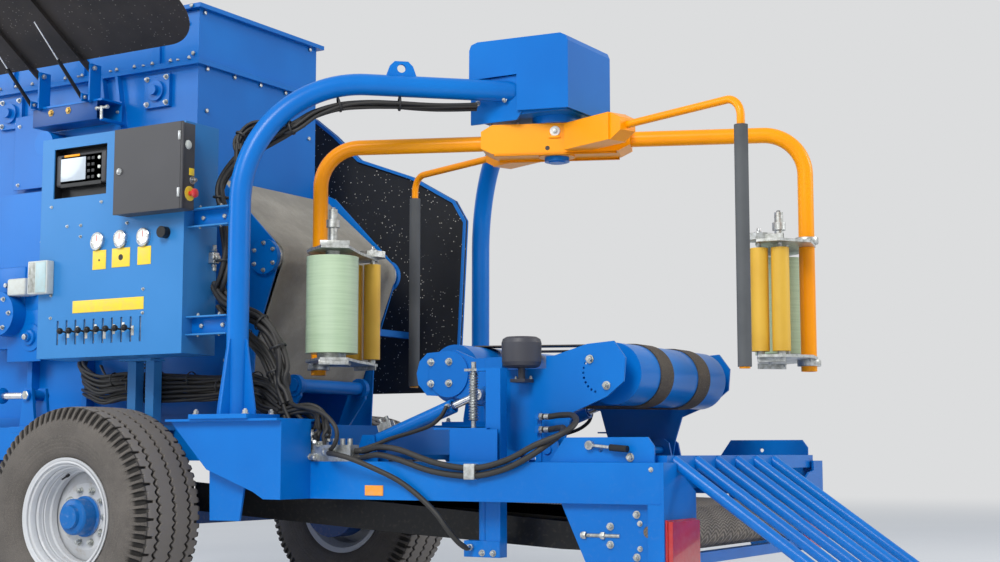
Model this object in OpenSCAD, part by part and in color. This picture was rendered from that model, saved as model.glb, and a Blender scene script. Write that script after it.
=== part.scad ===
// Trailed machine that presses chopped crop into small round bales and wraps them in film.
// X runs forward along the machine, Y to its left and Z up from the ground.
// Places along X are counted from the wrapping axis and moved to the row's origin by at_axis().

/* [Overall] */
// Wrapping axis to the lower end of the discharge ramp
rear_reach = 2150; // [2100:10:2300]
// Wrapping axis to the front of the towing eye
front_reach = 6050; // [5900:10:6300]

/* [Wheels] */
// Wrapping axis to the wheel axle
axle_x = 2110; // [2080:5:2150]
// Machine's middle to the middle of a tyre
wheel_y = 1170; // [1165:5:1200]
// Outer diameter of a tyre
tyre_d = 1130; // [1100:5:1150]
// Width of a tyre
tyre_w = 460; // [430:5:470]
// Diameter over the rim's flange
rim_d = 606; // [590:2:620]
// Shoulder blocks around each side of a tyre
shoulder_blocks = 30; // [24:2:40]

/* [Wrapping rotor] */
// Angle of the leading arm from straight ahead, as parked
arm_angle = 22; // [0:1:60]
// Radius of the upright part of an arm
arm_r = 1280; // [1240:5:1300]
// Diameter of an arm's tube
arm_d = 80; // [70:2:90]
// Height of an arm's level part
arm_z = 2520; // [2480:5:2560]
// Lower end of an arm
arm_low_z = 1300; // [1280:5:1340]
// Angle from an arm back to its safety bar
bar_angle = 44; // [40:1:48]
// Radius of a safety bar
bar_r = 1336; // [1310:2:1340]

/* [Film units] */
// Width of the film
film_w = 500; // [480:5:510]
// Diameter of a full film roll
film_d = 270; // [230:5:280]
// Radius of a film roll's middle from the wrapping axis
film_r = 1170; // [1160:2:1180]
// Lower end of the film rolls
film_z = 1400; // [1390:5:1420]
// Diameter of a stretching roller
stretch_d = 90; // [80:2:96]

/* [Wrapping table] */
// Diameter of the table's two rollers
roller_d = 294; // [280:2:300]
// Length of the table's rollers
roller_w = 1000; // [960:10:1020]
// Inner face of a table side from the machine's middle
table_y = 611; // [600:1:615]

/* [Frame] */
// Outer face of a rail from the machine's middle
rail_y = 990; // [970:5:1000]
// Upper face of a rail
rail_top = 850; // [840:5:860]
// Height of a rail
rail_h = 180; // [160:5:190]
// Upper face of the main frame
frame_top = 1036; // [1020:2:1045]
// Diameter of an arch tube
arch_d = 110; // [100:2:120]
// Bend radius of an arch tube
arch_bend = 630; // [580:10:660]
// Tubes in the discharge ramp
ramp_tubes = 6; // [4:1:7]
// Slope of the discharge ramp in degrees
ramp_drop = 35; // [30:1:36]

/* [Baler] */
// Width between the chamber's side walls
chamber_w = 1090; // [1050:10:1100]
// Upper rim of the hopper
hopper_top = 3430; // [3350:10:3500]

/* [Hidden] */

fine = 48;
plate = 8;
fit = 0.3;
gap = 1;
rotor_x = (rear_reach - front_reach) / 2;
machine_blue = [0.03, 0.27, 0.72];
arm_orange = [0.98, 0.62, 0.02];
near_black = [0.07, 0.07, 0.07];
zinc = [0.72, 0.74, 0.74];

// Wheels
tyre_r = tyre_d / 2;
rim_r = rim_d / 2;
hub_face = 10;
// Rim's bead seat as radius and distance outward from the tyre's middle
bead_seat = [[256, 120], [284, 180]];

// Rails and the main frame behind and around the axle
rail_w = 80;
rail_in = rail_y - rail_w;
rail_low = rail_top - rail_h;
rail_front = 940;
rail_rear = -1050;
tail_plate = 12;
tail_face = rail_rear - tail_plate;
frame_low = 850;
beam_in = 705;
beam_out = 795;
frame_rear = 1010;
frame_front = 4000;
// Rear faces of the cross beams
cross_at = [1010, 1560, 2420, 3300, 3910];
cross_w = 90;
bed_z = 700;
bed_h = 100;

// Arches and the drive's head
leg_x = 1180;
leg_y = 1146;
foot_floor = 1057;
base_top = 1080;
head_x = 190;
head_y = 217;
arch_turn = atan2(head_y - leg_y, head_x - leg_x);
arch_reach = norm([head_x - leg_x, head_y - leg_y]);
arch_top = 2770;
// Lifting eye's middle along the arch from its upright
eye_run = arch_bend + 180;
rotor_low = arm_z - 85;
rotor_top = arm_z + 80;
tube_wall = 6;

// Table and its tilt cylinders
pivot_x = -320;
pivot_z = 905;
rear_roller = [-575, 1264];
front_roller = [315, 1285];
roller_r = roller_d / 2;
side_t = 12;
table_out = table_y + side_t;
tilt_y = 700;
tilt_eye = [50, 1170];
tilt_foot = [660, 945];
barrel_d = 70;
foot_gap = 38;

// Baling chamber and what stands on it
wall_y = chamber_w / 2;
wall_t = 10;
rib_y = wall_y + wall_t + 60;
chamber_top = 2440;
house_y = 540;
house_top = hopper_top - 330;
shaft_z = house_top - 143;
shaft_at = [2310, 3510];
intake_x = 3895;
intake_y = 451;

// Cabinet, hood and their fittings
panel_y = 1200;
hinge_y = 750;
hinge_z = house_top - 10;
shelf_z = hinge_z - 190;
hood_rise = 34;
door_x = 1435;
hood_arms = [2640, 3050];
strut_foot = [30, -170];
strut_eye = [400, 190];

// Crumb conveyor under the table
crumb_y = 640;
crumb_rear = [-970, 552];
crumb_front = [1840, 660];
crumb_d = [190, 90];

hose_side = [0.25, 1, 0.2];

// Moves what is drawn about the wrapping axis to its place in the row
module at_axis() { translate([rotor_x, 0, 0]) children(); }

// Draws on the left and again, mirrored, on the right
module both_sides() { children(); mirror([0, 1, 0]) children(); }

// Upright plate along the machine, outline in X and Z, from y outward
module side_plate(outline, y, t = plate) {
    translate([0, y + t, 0]) rotate([90, 0, 0]) linear_extrude(t) polygon(outline);
}

// Upright plate across the machine, outline in Y and Z, from x forward
module cross_plate(outline, x, t = plate) {
    translate([x, 0, 0]) rotate([90, 0, 90]) linear_extrude(t) polygon(outline);
}

// Box from its lowest corner to its highest
module block(a, b) { translate(a) cube(b - a); }

// Round bar from p to q
module rod(p, q, d) {
    v = q - p;
    translate(p) rotate([0, acos(v.z / norm(v)), atan2(v.y, v.x)]) cylinder(d = d, h = norm(v), $fn = fine);
}

// Round bar across the machine at x and z, from y0 to y1
module cross_rod(x, z, y0, y1, d) { rod([x, y0, z], [x, y1, z], d); }

// Square tube across the machine between the rails, open at its ends
module cross_tube(a, b, wall = plate) difference() {
    block([a.x, -b.y, a.y], [b.x, b.y, b.z]);
    block([a.x + wall, -b.y - 1, a.y + wall], [b.x - wall, b.y + 1, b.z - wall]);
}

// Hose through a list of places, smoothed between them
function turned(p, i) = let (v = p[min(i + 1, len(p) - 1)] - p[max(i - 1, 0)]) v / norm(v);
function smooth(p, n) = [for (i = [0 : len(p) - 2], k = [0 : n - 1]) let (
    t = k / n, a = p[max(i - 1, 0)], b = p[i], c = p[i + 1], e = p[min(i + 2, len(p) - 1)])
    b + t * (c - a) / 2 + t * t * (a - 2.5 * b + 2 * c - e / 2) + t * t * t * (3 * b - a - 3 * c + e) / 2,
    p[len(p) - 1]];
module hose(places, d, sides = 10) {
    line = smooth(places, 3);
    last = len(line) - 1;
    rings = [for (i = [0 : last]) let (t = turned(line, i),
        a = cross(t, hose_side) / norm(cross(t, hose_side)),
        b = cross(t, a)) each [for (k = [0 : sides - 1]) line[i] + d / 2 * (cos(k * 360 / sides) * a
        + sin(k * 360 / sides) * b)]];
    polyhedron(rings, concat(
        [[for (k = [0 : sides - 1]) k]],
        [for (i = [0 : last - 1], k = [0 : sides - 1]) let (m = (k + 1) % sides)
            [i * sides + k, (i + 1) * sides + k, (i + 1) * sides + m, i * sides + m]],
        [[for (k = [sides - 1 : -1 : 0]) last * sides + k]]), convexity = 6);
}

module main_frame() color(machine_blue) at_axis() {
    both_sides() {
        block([frame_rear, beam_in, frame_low], [frame_front, beam_out, frame_top]);
        // Hangers of the axle below each beam
        for (y = [beam_in + 4, beam_out - 16])
            side_plate([[axle_x - 150, frame_low], [axle_x + 150, frame_low], [axle_x + 90, tyre_r + 75],
                        [axle_x - 90, tyre_r + 75]], y, side_t);
    }
    for (x = cross_at) block([x, -beam_in, frame_low + 30], [x + cross_w, beam_in, frame_top]);
}

out_y = 1209;
module rails() color(machine_blue) at_axis() both_sides() {
    // Box section, closed at the rear by the tail plate
    difference() {
        block([rail_rear, rail_in, rail_low], [rail_front, rail_y, rail_top]);
        block([rail_rear - 1, rail_in + plate, rail_low + plate],
              [rail_front + 1, rail_y - plate, rail_top - plate]);
    }
    cross_plate([[rail_y + 6, rail_top], [860, rail_top], [860, 800], [790, 790], [660, 720],
                 [660, 395], [rail_y + 6, 395]],
                tail_face, tail_plate);
    block([rail_rear, rail_y - 6, 395], [rail_rear + 65, rail_y + 6, rail_low]);
    // Outrigger that carries the arch: two side plates between a floor and a top plate
    front = [[rail_front, rail_low], [1005, 705], [1300, 810], [1540, foot_floor - 12]];
    out = concat([[835, rail_low], [835, foot_floor - 12]], [for (i = [3 : -1 : 0]) front[i]]);
    side_plate(out, rail_y, side_t);
    side_plate(out, out_y, side_t);
    side_plate(concat(front, [[1520, foot_floor - 12], [1292, 822], [1001, 717], [936, 682], [847, 682],
                      [847, foot_floor - 12], [835, foot_floor - 12], [835, rail_low]]),
               rail_y + side_t, out_y - rail_y - side_t);
    block([860, beam_out, 900], [1500, rail_y, frame_top]);
    block([835, rail_in, foot_floor - 12], [1545, out_y + 48, foot_floor]);
    // Hanging bracket below the outrigger
    side_plate([[1110, 748], [1300, 816], [1338, 853], [1330, 560], [1140, 560]], 1144, side_t);
}

module rear_beam() color(machine_blue) at_axis() {
    // Cross tubes of the table's pivots and of the tilt cylinders, and the low one behind
    cross_tube([-400, bed_z], [-240, rail_in, bed_z + bed_h]);
    cross_tube([600, bed_z], [770, rail_in, bed_z + bed_h]);
    cross_tube([-1050, 398], [-1000, 944, 448], 5);
    both_sides() {
        // Drop plate that carries the conveyor's drum
        difference() {
            side_plate([[-541, rail_low], [rail_rear, rail_low], [rail_rear, 395], [-671, 395]], 944, side_t);
            cross_rod(crumb_rear[0], crumb_rear[1], 940, 960, 50 + gap);
        }
        // Pivot ears of the table
        for (y = [table_y - 60, table_out + 44]) difference() {
            side_plate([[pivot_x - 80, 800], [pivot_x + 80, 800], [pivot_x + 48, 945], [pivot_x + 20, 965],
                        [pivot_x - 20, 965], [pivot_x - 48, 945]], y, 14);
            cross_rod(pivot_x, pivot_z, y - 1, y + 15, 40 + gap);
        }
        // Feet of the tilt cylinders
        for (y = [tilt_y - foot_gap - side_t, tilt_y + foot_gap]) difference() {
            side_plate([[600, 800], [770, 800], [tilt_foot[0] + 40, 980], [tilt_foot[0] - 30, 980]], y, side_t);
            cross_rod(tilt_foot[0], tilt_foot[1], y - 1, y + 13, 26 + gap);
        }
        // Bulkhead of the table's hoses on the outer pivot ear
        block([-290, table_out + 58, 850], [-269, table_out + 66, 1085]);
        for (z = [1000, 1060]) block([-290, table_out + 66, z - 14], [-269, 716, z + 14]);
    }
}

module axle() color([0.05, 0.12, 0.3]) at_axis() {
    block([axle_x - 65, -860, tyre_r - 65], [axle_x + 65, 860, tyre_r + 65]);
    both_sides() {
        block([axle_x - 90, beam_in - 5, tyre_r + 65], [axle_x + 90, beam_out + 5, tyre_r + 75]);
        // Brake drum and stub axle
        cross_rod(axle_x, tyre_r, 860, 1010, 400);
        cross_rod(axle_x, tyre_r, 1010, wheel_y + hub_face - fit, 90);
    }
}

module rim(side) at_axis() translate([axle_x, side * wheel_y, tyre_r]) rotate([-90 * side, 0, 0]) {
    // Section in radius and distance outward from the tyre's middle
    color([0.86, 0.87, 0.88]) rotate_extrude($fn = 72) polygon(concat([
        [90, 50], [170, 50], [244, 14], [244, 116], [270, 186], [rim_r, 200], [rim_r, 192]],
        [bead_seat[1], bead_seat[0]],
        [[256, -120], [284, -180], [rim_r, -192], [rim_r, -200], [272, -188], [244, -124], [244, -4],
        [168, 36], [90, 36]]));
    // Hub with its cap
    color(machine_blue) rotate_extrude($fn = fine) polygon([
        [0, hub_face], [92, hub_face], [92, 36], [105, 36], [105, 60], [92, 66], [92, 140], [84, 150],
        [62, 156], [58, 176], [0, 178]]);
}
module rim_left() rim(1);
module rim_right() rim(-1);

module tyre(side) color([0.16, 0.15, 0.14]) at_axis()
translate([axle_x, side * wheel_y, tyre_r]) rotate([-90 * side, 0, 0]) difference() {
    half = tyre_w / 2;
    seat = bead_seat[1] - bead_seat[0];
    off = fit * [seat[1], -seat[0]] / norm(seat);
    heel = bead_seat[0] + 0.94 * seat + off;
    toe = bead_seat[0] + 0.3 * seat + off;
    // Outline from the inner side wall over the tread as height and radius
    wall = [[half - 6, rim_r + 60], [half, 430], [half - 6, 500], [half - 18, 540], [half - 40, tyre_r]];
    rings = concat([for (p = wall) [-p[0], p[1]]], [for (i = [len(wall) - 1 : -1 : 0]) wall[i]]);
    hull() for (i = [0 : len(rings) - 2]) translate([0, 0, rings[i][0]])
        cylinder(r1 = rings[i][1], r2 = rings[i + 1][1], h = rings[i + 1][0] - rings[i][0], $fn = 60);
    // Hollow of the tyre between its beads
    bead = [[rim_r + 60, half], heel, toe, [470, 190]];
    rotate_extrude($fn = 60) polygon(concat(
        [[0, half + 1]], [[rim_r + 60, half + 1]], bead,
        [for (i = [len(bead) - 1 : -1 : 0]) [bead[i].x, -bead[i].y]],
        [[rim_r + 60, -half - 1], [0, -half - 1]]));
    // Notches between the shoulder blocks
    for (k = [0 : shoulder_blocks - 1], s = [-1, 1]) rotate([0, 0, (k + s / 4) * 360 / shoulder_blocks])
        translate([tyre_r - 24, -5, s * (half - 30) - 30]) cube([60, 10, 60]);
}
module tyre_left() tyre(1);
module tyre_right() tyre(-1);

bar_tip = front_reach - 230;
module drawbar() color(machine_blue) at_axis() {
    back = frame_front + side_t;
    block([frame_front, -700, frame_low + 30], [back, 700, frame_top]);
    // Two converging arms, each the overlap of its plan and its side view
    both_sides() intersection() {
        translate([0, 0, 600]) linear_extrude(500) polygon([[back, 470], [back, 590], [bar_tip - 300, 80],
                                                           [bar_tip - 420, -20]]);
        side_plate([[back, 890], [back, 1010], [bar_tip - 300, 760], [bar_tip - 300, 640]], -30, 700);
    }
    block([bar_tip - 420, -80, 640], [bar_tip, 80, 760]);
    // Towing eye
    eye_x = front_reach - 75;
    difference() {
        union() {
            translate([eye_x, 0, 660]) cylinder(r = 75, h = 45, $fn = fine);
            block([bar_tip, -45, 660], [eye_x, 45, 705]);
            block([bar_tip, -80, 640], [bar_tip + 20, 80, 760]);
        }
        translate([eye_x, 0, 600]) cylinder(d = 50, h = 200, $fn = fine);
    }
}

module parking_jack() color([0.1, 0.1, 0.11]) at_axis() {
    jack_x = bar_tip - 220;
    jack_y = 150;
    block([jack_x - 45, 80, 660], [jack_x + 45, jack_y - 20, 740]);
    translate([jack_x, jack_y, 0]) {
        cylinder(r = 110, h = 12, $fn = fine);
        translate([0, 0, 12]) cylinder(d = 60, h = 560, $fn = fine);
        translate([0, 0, 330]) cylinder(d = 84, h = 600, $fn = fine);
        translate([0, 0, 930]) cylinder(d = 96, h = 60, $fn = fine);
    }
    rod([jack_x, jack_y, 960], [jack_x, jack_y + 160, 960], 20);
    rod([jack_x, jack_y + 150, 960], [jack_x, jack_y + 150, 1060], 24);
}

input_z = 880;
module power_input() color([0.08, 0.2, 0.5]) at_axis() {
    block([frame_front + side_t, -150, input_z - 130], [4230, 150, input_z + 130]);
    translate([4230, 0, input_z]) rotate([0, 90, 0]) {
        cylinder(d = 150, h = 60, $fn = fine);
        cylinder(d = 34.9, h = 140, $fn = fine);
    }
}

// Upright of an arch, its bend and its level run, as a bar of diameter d
module arch_bar(d) translate([leg_x, leg_y, 0]) rotate([0, 0, arch_turn]) {
    rise = arch_top - arch_bend;
    translate([0, 0, base_top]) cylinder(d = d, h = rise - base_top, $fn = fine);
    translate([arch_bend, 0, rise]) rotate([90, 0, 0]) rotate([0, 0, 90])
        rotate_extrude(angle = 90, $fn = 96) translate([arch_bend, 0]) circle(d = d, $fn = 32);
    rod([arch_bend, 0, arch_top], [arch_reach + arch_d, 0, arch_top], d);
}

module arch(side) color(machine_blue) at_axis() mirror([0, side < 0 ? 1 : 0, 0]) {
    // Tube, cut flush with the side of the drive's head
    difference() {
        arch_bar(arch_d);
        arch_bar(arch_d - 2 * plate);
        block([head_x - 300, head_y - 200, arch_top - 100], [head_x + 300, head_y, arch_top + 100]);
    }
    // Lifting eye on the level run
    translate([leg_x, leg_y, 0]) rotate([0, 0, arch_turn]) difference() {
        side_plate([[eye_run - 80, arch_top + 50], [eye_run + 80, arch_top + 50],
                    [eye_run + 60, arch_top + 105], [eye_run + 35, arch_top + 130],
                    [eye_run - 35, arch_top + 130], [eye_run - 60, arch_top + 105]], -8, 16);
        cross_rod(eye_run, arch_top + 92, -20, 20, 44);
    }
    // Foot: base plate and four tapered gussets
    block([leg_x - 170, leg_y - 130, foot_floor], [leg_x + 200, leg_y + 126, base_top]);
    for (a = [0 : 90 : 270]) translate([leg_x, leg_y, 0]) rotate([0, 0, a])
        side_plate([[50, base_top - 10], [122, base_top - 10], [122, base_top + 20], [62, base_top + 370],
                    [50, base_top + 370]], -5, 10);
}
module arch_left() arch(1);
module arch_right() arch(-1);

module head_drive() color(machine_blue) at_axis() {
    // Base plate, side plates that take the arches, slewing bearing, shaft and motor
    block([-170, -(head_y - wall_t), 2640], [390, head_y - wall_t, 2660]);
    both_sides() {
        side_plate([[120, 2612], [400, 2612], [400, 2850], [60, 2850], [60, 2690]], head_y - wall_t, wall_t);
        block([-160, 150, 2660], [-90, 227, 2720]);
    }
    block([330, -(head_y - wall_t), 2660], [350, head_y - wall_t, 2850]);
    translate([0, 0, rotor_top + fit]) cylinder(d = 260, h = 2640 - rotor_top - fit, $fn = fine);
    translate([0, 0, rotor_low - 30]) cylinder(d = 90, h = 2650 - rotor_low + 30, $fn = fine);
    translate([0, 0, rotor_low - 24 - fit]) cylinder(d = 130, h = 24, $fn = fine);
    block([-120, -90, 2660], [60, 90, 2900]);
}

cover_y = 235;
module head_cover() color(machine_blue) at_axis() difference() {
    cover = [[-195, 2640], [-195, 2990], [-183, 3018], [-150, 3035], [350, 3050], [388, 3038], [400, 3010],
             [402, 2700], [150, 2660]];
    side_plate(cover, -cover_y, 2 * cover_y);
    side_plate([[-187, 2600], [-187, 2985], [-148, 3027], [347, 3042], [392, 3005], [394, 2700],
                [394, 2600]], plate - cover_y, 2 * (cover_y - plate));
    // Openings for the arch tubes
    both_sides() block([110, head_y - wall_t - gap, 2600], [420, cover_y + 25, 2850]);
}

module rotor_beam() color(arm_orange) at_axis() rotate([0, 0, arm_angle]) difference() {
    // Box beam, thicker in the middle, with the two brackets of the safety bars
    union() {
        side_plate([[-390, arm_z - 45], [-330, arm_z - 75], [330, arm_z - 75], [390, arm_z - 45],
                    [390, arm_z + 45], [330, rotor_top], [-330, rotor_top], [-390, arm_z + 45]], -100, 200);
        translate([0, 0, rotor_low]) cylinder(d = 190, h = 12, $fn = fine);
        for (h = [0, 180]) rotate([0, 0, h - bar_angle]) {
            block([130, -60, arm_z - 70], [480, 60, arm_z + 70]);
            side_plate([[480, arm_z - 70], [560, arm_z - 32], [560, arm_z + 32], [480, arm_z + 70]], -50, 100);
        }
    }
    translate([0, 0, rotor_low - 10]) cylinder(d = 90 + gap, h = 200, $fn = fine);
    // Hollow inside, open to the shaft's bore
    block([-320, plate - 100, arm_z - 75 + plate], [320, 100 - plate, rotor_top - plate]);
}

// Level tube from the middle outward, a bend, and an upright that hangs from it
module hanging_bar(r, start, bend, d, low) {
    rod([start, 0, arm_z], [r - bend, 0, arm_z], d);
    translate([r - bend, 0, arm_z - bend]) rotate([90, 0, 0])
        rotate_extrude(angle = 90, $fn = 64) translate([bend, 0]) circle(d = d, $fn = 32);
    rod([r, 0, low], [r, 0, arm_z - bend], d);
}
module hanging_tube(r, start, bend, d, low) difference() {
    hanging_bar(r, start, bend, d, low);
    hanging_bar(r, start - 1, bend, d - 2 * tube_wall, low - 1);
}

module rotor_arms() color(arm_orange) at_axis() for (h = [0, 180])
    rotate([0, 0, arm_angle + h]) hanging_tube(arm_r, 390, 210, arm_d, arm_low_z);

bar_low = 1270;
bar_d = 38;
module safety_bars() color(arm_orange) at_axis() for (h = [0, 180])
    rotate([0, 0, arm_angle - bar_angle + h]) {
        hanging_tube(bar_r, 560, 90, bar_d, bar_low);
        // Collar that the sleeve rests on
        translate([bar_r, 0, bar_low]) cylinder(d = 50, h = 8, $fn = 32);
    }

module bar_sleeves() color([0.3, 0.31, 0.32]) at_axis() for (h = [0, 180])
    rotate([0, 0, arm_angle - bar_angle + h]) translate([bar_r, 0, bar_low + 8]) difference() {
        cylinder(d = 64, h = 1110, $fn = 32);
        translate([0, 0, -1]) cylinder(d = bar_d + 2 * fit, h = 1112, $fn = 32);
    }

// Angle of a film roll and of its stretching rollers from the arm that carries them
roll_turn = 11.5;
stretch_turn = -10.5;
stretch_r = 1108;
stretch_apart = 52;
core_d = 72;
pin_d = 24;
holder_low = film_z - 42;
holder_top = film_z + film_w + 32;
module film_holders() color(zinc) at_axis() for (h = [0, 180]) rotate([0, 0, arm_angle + h]) {
    // Lower and upper plates, clamped to the arm's upright
    for (z = [holder_low, holder_top]) difference() {
        translate([0, 0, z]) linear_extrude(14) polygon([
            for (p = [[1040, 3], [1090, 19], [1230, 19], [1310, 9], [1325, 0], [1310, -9], [1180, -15],
                      [1060, -15], [1030, -8]]) p.x * [cos(p.y), sin(p.y)]]);
        translate([arm_r, 0, z - 5]) cylinder(d = arm_d + gap, h = 30, $fn = fine);
    }
    // Core spindle with its nut, bearing and spring cap above the upper plate
    rotate([0, 0, roll_turn]) {
        translate([film_r, 0, holder_top + 14]) {
            cylinder(d = 120, h = 26, $fn = 6);
            cylinder(d = 46, h = 205, $fn = fine);
            translate([0, 0, 110]) cylinder(d = 70, h = 40, $fn = fine);
        }
        translate([film_r, 0, holder_low + 14])
            cylinder(d = core_d, h = holder_top - holder_low - 14, $fn = fine);
        translate([film_r, 0, holder_low + 14]) cylinder(d = 150, h = film_z - holder_low - 14, $fn = fine);
    }
    rotate([0, 0, stretch_turn]) {
        for (dr = [-stretch_apart, stretch_apart]) translate([stretch_r + dr, 0, holder_low + 14]) {
            cylinder(d = pin_d, h = holder_top - holder_low - 14, $fn = 24);
            cylinder(d = 40, h = 20, $fn = 24);
        }
        translate([stretch_r - stretch_apart, 0, holder_top + 14]) cylinder(d = 150, h = 34, $fn = 8);
    }
}

module film_rolls() color([0.72, 0.82, 0.66]) at_axis() for (h = [0, 180])
    rotate([0, 0, arm_angle + roll_turn + h]) translate([film_r, 0, film_z]) difference() {
        cylinder(d = film_d, h = film_w, $fn = 64);
        translate([0, 0, -1]) cylinder(d = core_d + gap, h = film_w + 2, $fn = fine);
    }

module stretch_rollers() color([0.93, 0.75, 0.25]) at_axis()
    for (h = [0, 180], dr = [-stretch_apart, stretch_apart])
    rotate([0, 0, arm_angle + stretch_turn + h]) translate([stretch_r + dr, 0, film_z - 8]) difference() {
        cylinder(d = stretch_d, h = film_w + 16, $fn = fine);
        translate([0, 0, -1]) cylinder(d = pin_d + 2 * fit, h = film_w + 18, $fn = 24);
    }

bed_top = 1260;
module table_frame() color(machine_blue) at_axis() {
    both_sides() {
        // Side, cut out behind the upright roller
        difference() {
            side_plate([[pivot_x - 40, 850], [pivot_x + 60, 860], [10, 930], [35, 1000], [70, 1120],
                        [250, 1165], [400, 1175], [452, 1230], [462, 1285], [445, 1345], [400, 1385],
                        [230, 1395], [120, 1350], [-66, 1350], [-66, 1290], [-280, 1290], [-280, 1350],
                        [-320, 1350], [-500, 1400], [-640, 1410], [-700, 1330], [-690, 1220],
                        [-600, 1150], [-420, 1080], [pivot_x - 60, 960]], table_y, side_t);
            cross_rod(pivot_x, pivot_z, table_y - 1, table_out + 1, 40);
            // Adjusting holes of the rear roller
            for (a = [-70 : 14 : 42]) cross_rod(rear_roller[0] + 95 * cos(a), rear_roller[1] + 95 * sin(a),
                                                table_y - 1, table_out + 1, 12);
        }
        // Upright channel that stiffens the side
        side_plate([[-60, 935], [10, 930], [35, 1000], [35, 1350], [-60, 1350]], table_out, 40);
        // Lug beside the tilt cylinder's eye
        cross_rod(tilt_eye[0], tilt_eye[1], table_out, tilt_y - 24, 84);
        // Round cover of the front roller's bearing
        cross_rod(front_roller[0] - 47, front_roller[1] - 8, table_out, table_out + 10, 230);
    }
    // Pivot tube, cross tubes and the bed between the rollers
    cross_rod(pivot_x, pivot_z, -690, 690, 40);
    for (x = [-390, 70]) block([x, -table_y, bed_top - 60], [x + 60, table_y, bed_top]);
    block([-400, -roller_w / 2, bed_top], [140, roller_w / 2, bed_top + plate]);
}

module table_rollers() color(machine_blue) at_axis() for (p = [rear_roller, front_roller]) {
    difference() {
        cross_rod(p[0], p[1], -roller_w / 2, roller_w / 2, roller_d);
        cross_rod(p[0], p[1], -roller_w / 2 + 30, roller_w / 2 - 30, roller_d - 2 * plate);
    }
    cross_rod(p[0], p[1], -table_y, table_y, 50);
}

// Two flat belts around both rollers
belt_t = 6;
belt_w = 140;
sides = 64;
module table_belts() color(near_black) at_axis() for (y = [-290, 150]) translate([0, y + belt_w, 0])
    rotate([90, 0, 0]) linear_extrude(belt_w) difference() {
        belt_line(roller_r + belt_t);
        belt_line(roller_r);
    }
module belt_line(r) hull() for (p = [rear_roller, front_roller]) translate(p)
    circle((r + fit) / cos(180 / sides), $fn = sides);

side_roller_x = -171;
module side_rollers() color(near_black) at_axis() both_sides() translate([side_roller_x, table_out + 45, 0]) {
    translate([0, 0, 1295]) rotate_extrude($fn = fine) polygon([
        [0, 0], [72, 0], [88, 8], [94, 26], [96, 118], [90, 136], [74, 146], [0, 148]]);
    translate([0, 0, 1240]) cylinder(d = 34, h = 60, $fn = fine);
    block([-40, -45, 1225], [40, 40, 1241]);
}

module tilt_barrel(side) color(machine_blue) at_axis() mirror([0, side < 0 ? 1 : 0, 0]) {
    foot = [tilt_foot[0], tilt_y, tilt_foot[1]];
    eye = [tilt_eye[0], tilt_y, tilt_eye[1]];
    way = (eye - foot) / norm(eye - foot);
    difference() {
        union() {
            rod(foot + 30 * way, foot + 500 * way, barrel_d);
            cross_rod(foot.x, foot.z, tilt_y - 25, tilt_y + 25, 64);
        }
        rod(foot + 60 * way, foot + 510 * way, 50);
    }
    cross_rod(foot.x, foot.z, tilt_y - foot_gap - side_t, tilt_y + foot_gap + side_t, 26);
}
module tilt_barrel_left() tilt_barrel(1);
module tilt_barrel_right() tilt_barrel(-1);

module tilt_rod(side) color(zinc) at_axis() mirror([0, side < 0 ? 1 : 0, 0]) {
    foot = [tilt_foot[0], tilt_y, tilt_foot[1]];
    eye = [tilt_eye[0], tilt_y, tilt_eye[1]];
    way = (eye - foot) / norm(eye - foot);
    rod(foot + 90 * way, eye - 20 * way, 36);
    rod(foot + 90 * way, foot + 130 * way, 49.4);
    cross_rod(eye.x, eye.z, tilt_y - 19, tilt_y + 19, 56);
    cross_rod(eye.x, eye.z, tilt_y - 24 + fit, tilt_y + 26, 26);
}
module tilt_rod_left() tilt_rod(1);
module tilt_rod_right() tilt_rod(-1);

cutter_y = 825;
module film_cutters() color(machine_blue) at_axis() both_sides() {
    // Guide post beside the rail with its foot, and the stand that ties it to the rail
    block([-165, cutter_y - 30, 410], [-85, cutter_y + 30, 1275]);
    rod([-62, cutter_y, 440], [-62, cutter_y, 1000], 52);
    block([-165, cutter_y - 30, 410], [30, cutter_y + 35, 485]);
    block([-165, rail_in - 34, 700], [97, rail_in - 26, 1000]);
    block([-108, cutter_y - 25, 1000], [187, rail_in - 26, 1008]);
    block([-165, rail_in - 26, 700], [-85, rail_in, 830]);
    block([-165, cutter_y + 30, 700], [-85, rail_in - 34, 760]);
    // Cutter's cylinder with its return spring
    color(zinc) rod([0, cutter_y, 1008], [0, cutter_y, 1320], 24);
    color(zinc) translate([0, cutter_y, 1040]) rotate_extrude($fn = 24) polygon(concat([[0, 0]],
        [for (k = [0 : 17]) each [[16, 13 * k + 2], [25, 13 * k + 8]]], [[0, 13 * 18]]));
    block([-165, cutter_y - 30, 1275], [35, cutter_y + 30, 1287]);
}

module rear_brackets() color(machine_blue) at_axis() both_sides() {
    difference() {
        side_plate([[-480, rail_top], [-560, 960], [-970, 960], [-1000, 920], [-1000, rail_top]],
                   rail_y - 45, 10);
        cross_rod(-740, 905, rail_y - 46, rail_y - 34, 22);
    }
    // Locking lever on its boss
    color(zinc) cross_rod(-690, 925, rail_y - 35, rail_y - 15, 40);
    color(zinc) rod([-690, rail_y - 25, 925], [-800, rail_y - 10, 915], 16);
    color(near_black) rod([-800, rail_y - 10, 915], [-890, rail_y + 2, 908], 30);
}

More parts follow.
